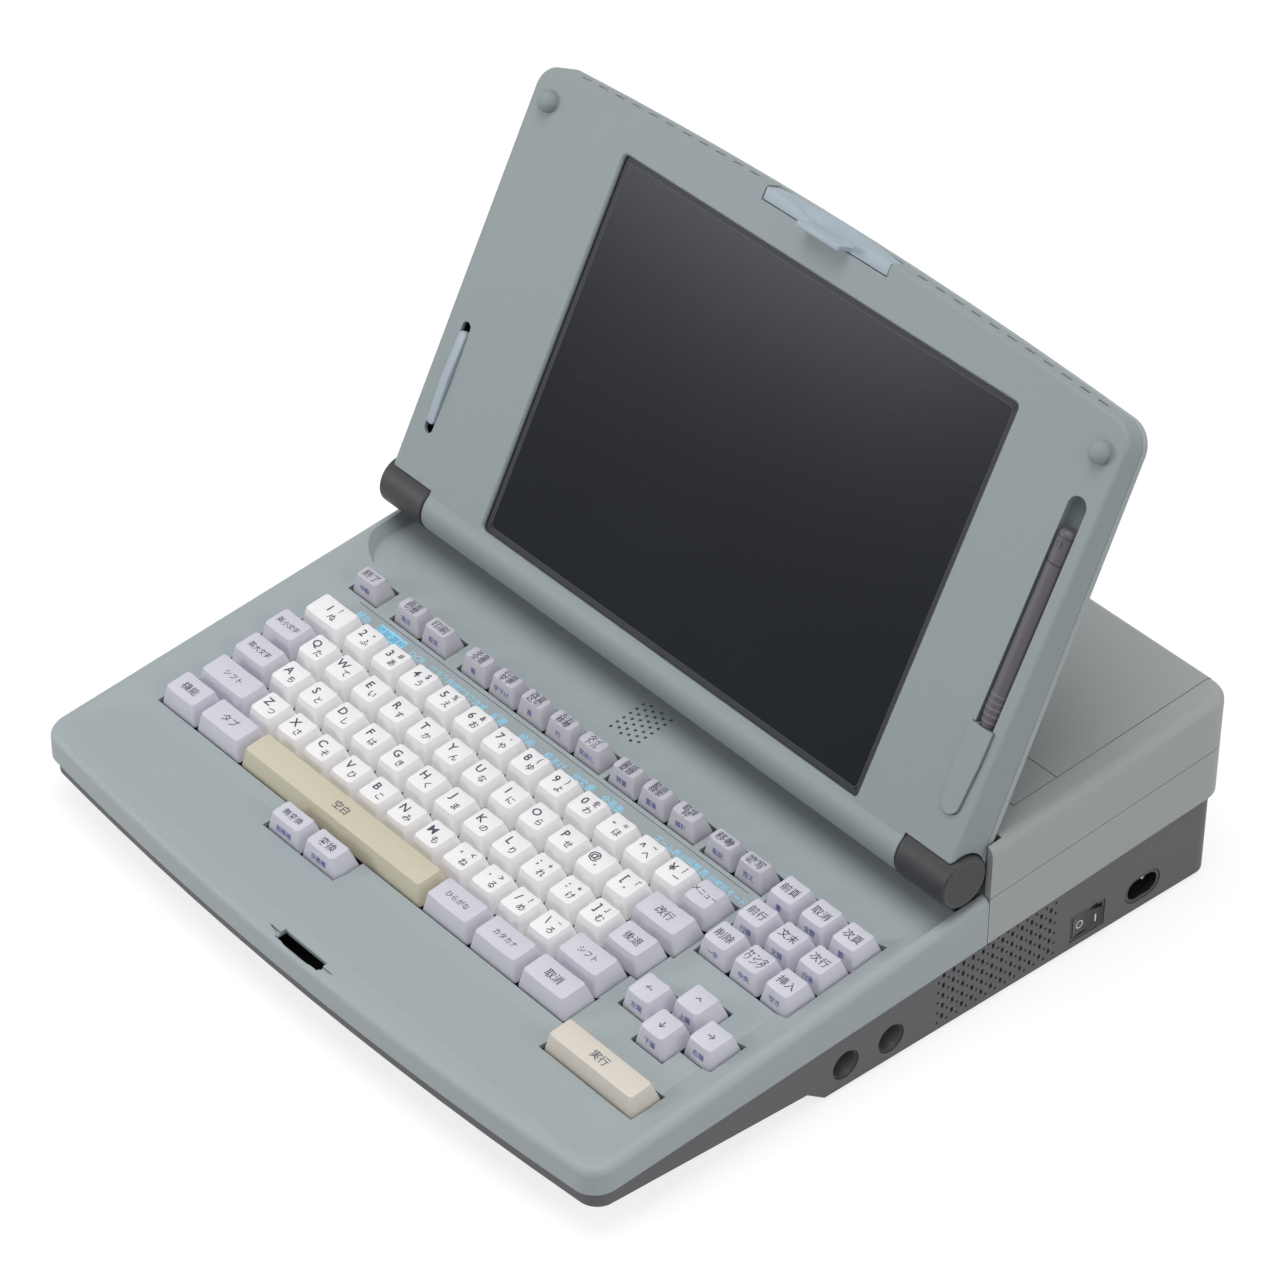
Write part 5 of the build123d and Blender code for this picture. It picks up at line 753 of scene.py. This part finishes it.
# Acetal: milky white, waxy, light goes a little way in.
acetal = moulded("acetal_white_moulded", "#E4E2DA", "#DBD9D0", rough=0.36, grain=0.4,
                 depth=0.005, edge=0.15)
give(acetal, "platen_gear", "motor_pinion")
give(black_pbt, "print_carriage")
ribbon_abs = moulded("polystyrene_ribbon_case", "#2B2B2E", "#313135", rough=0.28, grain=0.7,
                     depth=0.004)
give(ribbon_abs, "ribbon_cassette")
cast_alloy = cut_metal("aluminium_die_cast", "#A8AAAC", "#9C9EA1", 0.45, 0.5)
give(cast_alloy, "print_head")

# Toothed belt: black neoprene over fabric, a tooth every 2 mm.
belt_rubber, tree = new_material("neoprene_toothed_belt")
teeth = add_node(tree, "ShaderNodeTexWave", {
    "Vector": object_place(tree), "Scale": 1000 / (2 * math.pi), "Distortion": 0.0},
    bands_direction="X")
belt_tone = add_node(tree, "ShaderNodeMix", {
    "Factor": teeth.outputs["Fac"], "A": linear("#161617"), "B": linear("#2A2A2B")},
    data_type="RGBA")
belt_bump = add_node(tree, "ShaderNodeBump", {
    "Strength": 0.6, "Distance": 0.0003, "Height": teeth.outputs["Fac"]})
finish_with(tree, belt_tone.outputs["Result"], 0.68, IOR=1.52, Normal=belt_bump.outputs[0])
give(belt_rubber, "carriage_belt")


# ----------------------------------------------------------------- rear covers
# The same grey-green ABS in three shells: the band round the printer, the
# cover with its paper flap, and the strip with the tear edge.
cover_abs = moulded("abs_grey_green_cover", "#969C9C", "#9D9F9A", wear_and_highlight="#ABB1AF")
give(cover_abs, "rear_band", "rear_cover")
flap_abs = moulded("abs_grey_green_flap", "#949A9A", "#9B9D99", wear_and_highlight="#A9AFAD")
give(flap_abs, "paper_cover", "printer_strip")


# ---------------------------------------------------------------------- hinges
# Dark grey ABS barrels over steel pins, each closed by a paler end disc that
# is pressed in and stands back behind the rim.
barrel_abs = moulded("abs_hinge_dark_grey", "#232427", "#292A2D", wear_and_highlight="#424346")
give(barrel_abs, "hinge_cover_left", "hinge_cover_right")
disc_abs = moulded("abs_hinge_disc_grey", "#3B3A3C", "#414041", rough=0.48, wear_and_highlight="#6A6562")
hinge_y, hinge_z = 0.027, 0.0782
barrel_end = 0.18575
disc_radius, disc_depth, disc_rim, disc_sink = 0.0112, 0.0007, 0.0009, 0.00025
for side, name in ((-1, "hinge_disc_left"), (1, "hinge_disc_right")):
    disc = bmesh.new()
    bmesh.ops.create_cone(disc, cap_ends=True, segments=64, radius1=disc_radius,
                          radius2=disc_radius, depth=disc_depth)
    outer = [f for f in disc.faces if f.normal.z > 0.9]
    bmesh.ops.inset_region(disc, faces=outer, thickness=disc_rim)
    bmesh.ops.translate(disc, verts=list({v for f in outer for v in f.verts}),
                        vec=(0, 0, -disc_sink))
    rim = [e for e in disc.edges if len(e.link_faces) == 2
           and e.calc_face_angle(0) > math.radians(60)]
    bmesh.ops.bevel(disc, geom=rim, offset=0.0002, offset_type="OFFSET", segments=2,
                    profile=0.5, affect="EDGES", material=-1)
    bmesh.ops.transform(disc, verts=disc.verts, matrix=Matrix.Translation(
        (side * (barrel_end - 0.0002), hinge_y, hinge_z))
        @ Matrix.Rotation(side * math.radians(90), 4, "Y"))
    place_piece(name, disc, "case", disc_abs)


# --------------------------------------------------------------------- display
# Bezel and back in grey-green ABS, snapped together round the panel, with
# soft bumpers in the corners. The bezel is the same ABS, painted a little darker
# than the deck and the back as shade on its forward-leaning face.
shaded_bezel_abs = moulded("abs_grey_green_bezel_painted_shade", "#828C8F", "#889191", wear_and_highlight="#9CA6A8")
give(shaded_bezel_abs, "display_bezel")
back_abs = moulded("abs_grey_green_back", "#939DA0", "#999F9F", wear_and_highlight="#ABB3B5")
give(back_abs, "display_back")
bumper_rubber = moulded("rubber_bumper_grey_green", "#7F8A89", "#868F8D", rough=0.7,
                        grain=0.5)
give(bumper_rubber, "lid_bumpers")

panel_lean = math.radians(63)
panel_frame = Matrix.Translation((0, hinge_y, hinge_z)) @ Matrix.Rotation(
    panel_lean, 4, "X")

# Anti-glare filter over a dark liquid-crystal panel: almost black, blue-grey,
# with soft reflections and a few hairline scratches; its colour is clouded with
# a painted sheen, a painted reflection over the panel's uneven tone. Its
# coating reflects less than bare glass does.
filter_glass, tree = new_material("glass_anti_glare_filter")
place = object_place(tree)
cloud = add_node(tree, "ShaderNodeTexNoise", {"Vector": place, "Scale": 9.0, "Detail": 4.0})
# Large clouds, lighter and darker, paint a reflection sheen over the panel's uneven tone.
filter_tone_and_sheen = add_node(tree, "ShaderNodeMix", {
    "Factor": cloud.outputs["Fac"], "A": linear("#080D16"), "B": linear("#141923")},
    data_type="RGBA")
hair = add_node(tree, "ShaderNodeMapping", {
    "Vector": place, "Scale": (30.0, 900.0, 900.0), "Rotation": (0, 0, 0.25)})
scratch = add_node(tree, "ShaderNodeTexNoise", {"Vector": hair.outputs[0], "Scale": 1.0,
                                                "Detail": 1.0})
scratched = add_node(tree, "ShaderNodeMapRange", {
    "Value": scratch.outputs["Fac"], "From Min": 0.76, "From Max": 0.80,
    "To Min": 0.20, "To Max": 0.32})
finish_with(tree, filter_tone_and_sheen.outputs["Result"], scratched.outputs[0], IOR=1.50,
            Specular_IOR_Level=0.13)
give(filter_glass, "lcd_glass")

# The panel itself: glass in a black steel frame, seen only when it is apart.
panel_glass, tree = new_material("lcd_panel_glass")
cells = add_node(tree, "ShaderNodeTexBrick", {
    "Vector": object_place(tree), "Scale": 1000 / 0.6, "Mortar Size": 0.06,
    "Color1": linear("#1B2230"), "Color2": linear("#1D2431"), "Mortar": linear("#11151C")})
finish_with(tree, cells.outputs["Color"], 0.22, IOR=1.52)
give(panel_glass, "lcd_panel")

# Border on the filter: a black frame, print and painted shadow of the window's edge, with a
# thin paler line inside it.
window_low, window_high = 0.0068, 0.1907
window_x, window_s = 0.0027, (window_low + window_high) / 2
window_size = (0.2456, window_high - window_low)
glass_n = 0.0086
shadow_border_ink = ink("ink_black_border_painted_shadow", "#0C0D10", "#121317")
line_ink = ink("ink_grey_filter_line", "#3E434C", "#474C55")


def window_ring(name, inset, width, material):
    """A flat frame of that width, inset from the window's edge, for the printed line and for
    the black border of print and painted shadow.
    """
    sheet = rounded_sheet(window_size[0] - 2 * inset, window_size[1] - 2 * inset, 0.0022, 6)
    whole = list(sheet.faces)
    bmesh.ops.inset_region(sheet, faces=whole, thickness=width, use_boundary=True)
    bmesh.ops.delete(sheet, geom=whole, context="FACES")
    bmesh.ops.translate(sheet, verts=sheet.verts, vec=(
        window_x, window_s, glass_n + ink_film))
    bmesh.ops.transform(sheet, verts=sheet.verts, matrix=panel_frame)
    place_piece(name, sheet, "display", material)


# The black frame paints the shadow that the window's edge casts on the glass, as well as the
# printed mask.
window_ring("filter_shadow_border", 0.0001, 0.0026, shadow_border_ink)
window_ring("filter_line", 0.0029, 0.0003, line_ink)


# ------------------------------------------------------------------ pen and sleeve
# Turned-look ABS pen: a soft grey barrel with an eyelet at the cap end, a
# parting ring below it and grip ribs over the sleeve that holds its tip.
# The sleeve takes the bezel's colour, with the bezel's painted shade.
give(shaded_bezel_abs, "pen_sleeve")
pen_abs = moulded("abs_pen_warm_grey", "#4D494F", "#534F55", rough=0.46, wear_and_highlight="#686469")
give(pen_abs, "stylus")
rib_abs = moulded("abs_pen_rib_pale", "#66626A", "#6D6970", rough=0.45)
shade_abs = moulded("abs_pen_shadow_dark", "#1D1B1E", "#242225", rough=0.6)
pen_x, pen_n, pen_top = 0.1713, 0.00735, 0.1572
pen_radius, tip_radius, tip_end, tip_length = 0.00475, 0.001, 0.040, 0.034
rib_first, rib_pitch, rib_count = 0.0690, 0.0030, 5
pen_line = panel_frame @ Matrix.Translation((pen_x, 0, pen_n)) @ Matrix.Rotation(
    math.radians(-90), 4, "X")


def add_hoop(mesh, place, radius, width, proud):
    """A thin band round the pen at that distance from the hinge axis; its
    inner edges lie just inside the pen."""
    hoop = bmesh.ops.create_cone(mesh, cap_ends=False, segments=40, radius1=radius + proud,
                                 radius2=radius + proud, depth=width)
    ends = [e for e in {e for v in hoop["verts"] for e in v.link_edges}
            if len(e.link_faces) == 1]
    closed = bmesh.ops.extrude_edge_only(mesh, edges=ends)
    inner = [g for g in closed["geom"] if isinstance(g, bmesh.types.BMVert)]
    shrink = (radius - 0.0001) / (radius + proud)
    bmesh.ops.scale(mesh, verts=inner, vec=(shrink, shrink, 1))
    bmesh.ops.transform(mesh, verts=hoop["verts"] + inner,
                        matrix=pen_line @ Matrix.Translation((0, 0, place)))


def pen_radius_at(place):
    """Radius of the pen and its tapered tip at that distance from the axis."""
    return min(pen_radius,
               tip_radius + (pen_radius - tip_radius) * (place - tip_end) / tip_length)


ribs = bmesh.new()
for rib in range(rib_count):
    rib_place = rib_first + rib * rib_pitch
    add_hoop(ribs, rib_place, pen_radius_at(rib_place), 0.0008, 0.00015)
place_piece("pen_ribs", ribs, "pen", rib_abs)
parting = bmesh.new()
add_hoop(parting, pen_top - 0.0155, pen_radius, 0.0005, 0.00005)
add_hoop(parting, pen_top - 0.0036, pen_radius, 0.0004, 0.00003)
place_piece("pen_parting_ring", parting, "pen", shade_abs)
eyelet = bmesh.new()
bmesh.ops.create_circle(eyelet, cap_ends=True, segments=24, radius=0.0015)
bmesh.ops.transform(eyelet, verts=eyelet.verts, matrix=panel_frame @ Matrix.Translation(
    (pen_x, pen_top - 0.0068, 0.02)))
project_on("stylus", eyelet, -(panel_frame.to_3x3() @ Vector((0, 0, 1))), ink_film)
place_piece("pen_eyelet", eyelet, "pen", shade_abs)


# ---------------------------------------------------------------- contrast slider
# Pale blue-grey ABS knob in a slot of the bezel: a long bar with rounded ends,
# highest in the middle, on a flange that runs behind the bezel.
# Its pale edge colour paints a highlight along the ridges and rims of the knob and the latch,
# besides wear.
latch_abs = moulded("abs_pale_blue_grey", "#93A0AA", "#99A5AD", rough=0.45, grain=0.3,
                    edge=0.45, wear_and_highlight="#BFCAD2")
slider_x, slider_s, slider_length, slider_width = -0.1705, 0.05725, 0.046, 0.0048
slider_foot, slider_top, slider_end = 0.0087, 0.0127, 0.0116
flange_width, flange_low, flange_high = 0.0084, 0.0070, 0.0082


def add_block(mesh, low, high):
    """A box from its low corner to its high one; returns its corners."""
    block = bmesh.ops.create_cube(mesh, size=1.0)["verts"]
    low, high = Vector(low), Vector(high)
    bmesh.ops.scale(mesh, verts=block, vec=high - low)
    bmesh.ops.translate(mesh, verts=block, vec=(low + high) / 2)
    return block


knob = bmesh.new()
add_block(knob, (-slider_width / 2, -slider_length / 2, slider_foot),
          (slider_width / 2, slider_length / 2, slider_top))
upright = [e for e in knob.edges if abs(e.verts[0].co.z - e.verts[1].co.z) > 0.001]
bmesh.ops.bevel(knob, geom=upright, offset=0.0020, offset_type="OFFSET", segments=5,
                profile=0.5, affect="EDGES", material=-1)
bmesh.ops.bisect_plane(knob, geom=knob.verts[:] + knob.edges[:] + knob.faces[:],
                       plane_co=(0, 0, 0), plane_no=(0, 1, 0))
for corner in knob.verts:
    if corner.co.z > slider_top - 0.0005:
        corner.co.z -= (slider_top - slider_end) * abs(corner.co.y) / (slider_length / 2)
rim = [e for e in knob.edges if min(v.co.z for v in e.verts) > slider_end - 0.0002
       and e.calc_face_angle(0) > math.radians(30)]
bmesh.ops.bevel(knob, geom=rim, offset=0.0005, offset_type="OFFSET", segments=3,
                profile=0.5, affect="EDGES", material=-1)
flange_end = slider_length / 2 - 0.003
add_block(knob, (-flange_width / 2, -flange_end, flange_low),
          (flange_width / 2, flange_end, flange_high))
bmesh.ops.transform(knob, verts=knob.verts, matrix=panel_frame @ Matrix.Translation(
    (slider_x, slider_s, 0)))
give(latch_abs, "contrast_slider")
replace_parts(place_piece("slider_knob", knob, "slider", latch_abs),
            "contrast_slider")


# ------------------------------------------------------------------ lid latch
# Pale blue-grey ABS bar across the top edge, scooped for the finger, with a
# hook that goes into the slot of the deck. It slides up to let go.
bar_middle, bar_half = -0.0005, 0.0385
bar_low, bar_high = 0.20655, 0.2124
bar_front, bar_back = 0.0107, 0.0027
scoop_depth, scoop_half, scoop_start = 0.0036, 0.030, 0.004
arch_rise, valley_depth = 0.0020, 0.0016
hook_low, hook_high = (-0.010, 0.2071, 0.0057), (0.016, 0.2097, 0.0197)
catch = bmesh.new()
add_block(catch, (bar_middle - bar_half, bar_low, bar_back),
          (bar_middle + bar_half, bar_high, bar_front))
long_edges = [e for e in catch.edges if abs(e.verts[0].co.x - e.verts[1].co.x) > 0.01]
bmesh.ops.subdivide_edges(catch, edges=long_edges, cuts=31, use_grid_fill=True)
deep_edges = [e for e in catch.edges if abs(e.verts[0].co.z - e.verts[1].co.z) > 0.005]
bmesh.ops.subdivide_edges(catch, edges=deep_edges, cuts=11, use_grid_fill=True)
for corner in catch.verts:
    if corner.co.y > bar_high - 1e-5:
        off_middle = corner.co.x - bar_middle
        across = 0.5 + 0.5 * math.cos(math.pi * min(1.0, abs(off_middle) / scoop_half))
        share = (corner.co.z - scoop_start) / (bar_front - scoop_start)
        share = max(0.0, min(1.0, share))
        arch = arch_rise * (1 - (off_middle / bar_half) ** 2)
        valley = valley_depth * across * math.sin(math.pi * share ** 2)
        corner.co.y += (1 - share) * arch - scoop_depth * across * share ** 1.4 - valley
corner_edges = [e for e in catch.edges if e.calc_face_angle(0) > math.radians(50)]
bmesh.ops.bevel(catch, geom=corner_edges, offset=0.0005, offset_type="OFFSET", segments=3,
                profile=0.5, affect="EDGES", material=-1)
hook = bmesh.new()
add_block(hook, hook_low, hook_high)
hook_edges = [e for e in hook.edges if e.calc_face_angle(0) > math.radians(50)
              and max(v.co.z for v in e.verts) > bar_front]
bmesh.ops.bevel(hook, geom=hook_edges, offset=0.0004, offset_type="OFFSET", segments=2,
                profile=0.5, affect="EDGES", material=-1)
join_into(catch, hook)
bmesh.ops.transform(catch, verts=catch.verts, matrix=panel_frame)
give(latch_abs, "lid_latch")
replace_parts(place_piece("latch_bar", catch, "latch", latch_abs, crease=40.0),
            "lid_latch")
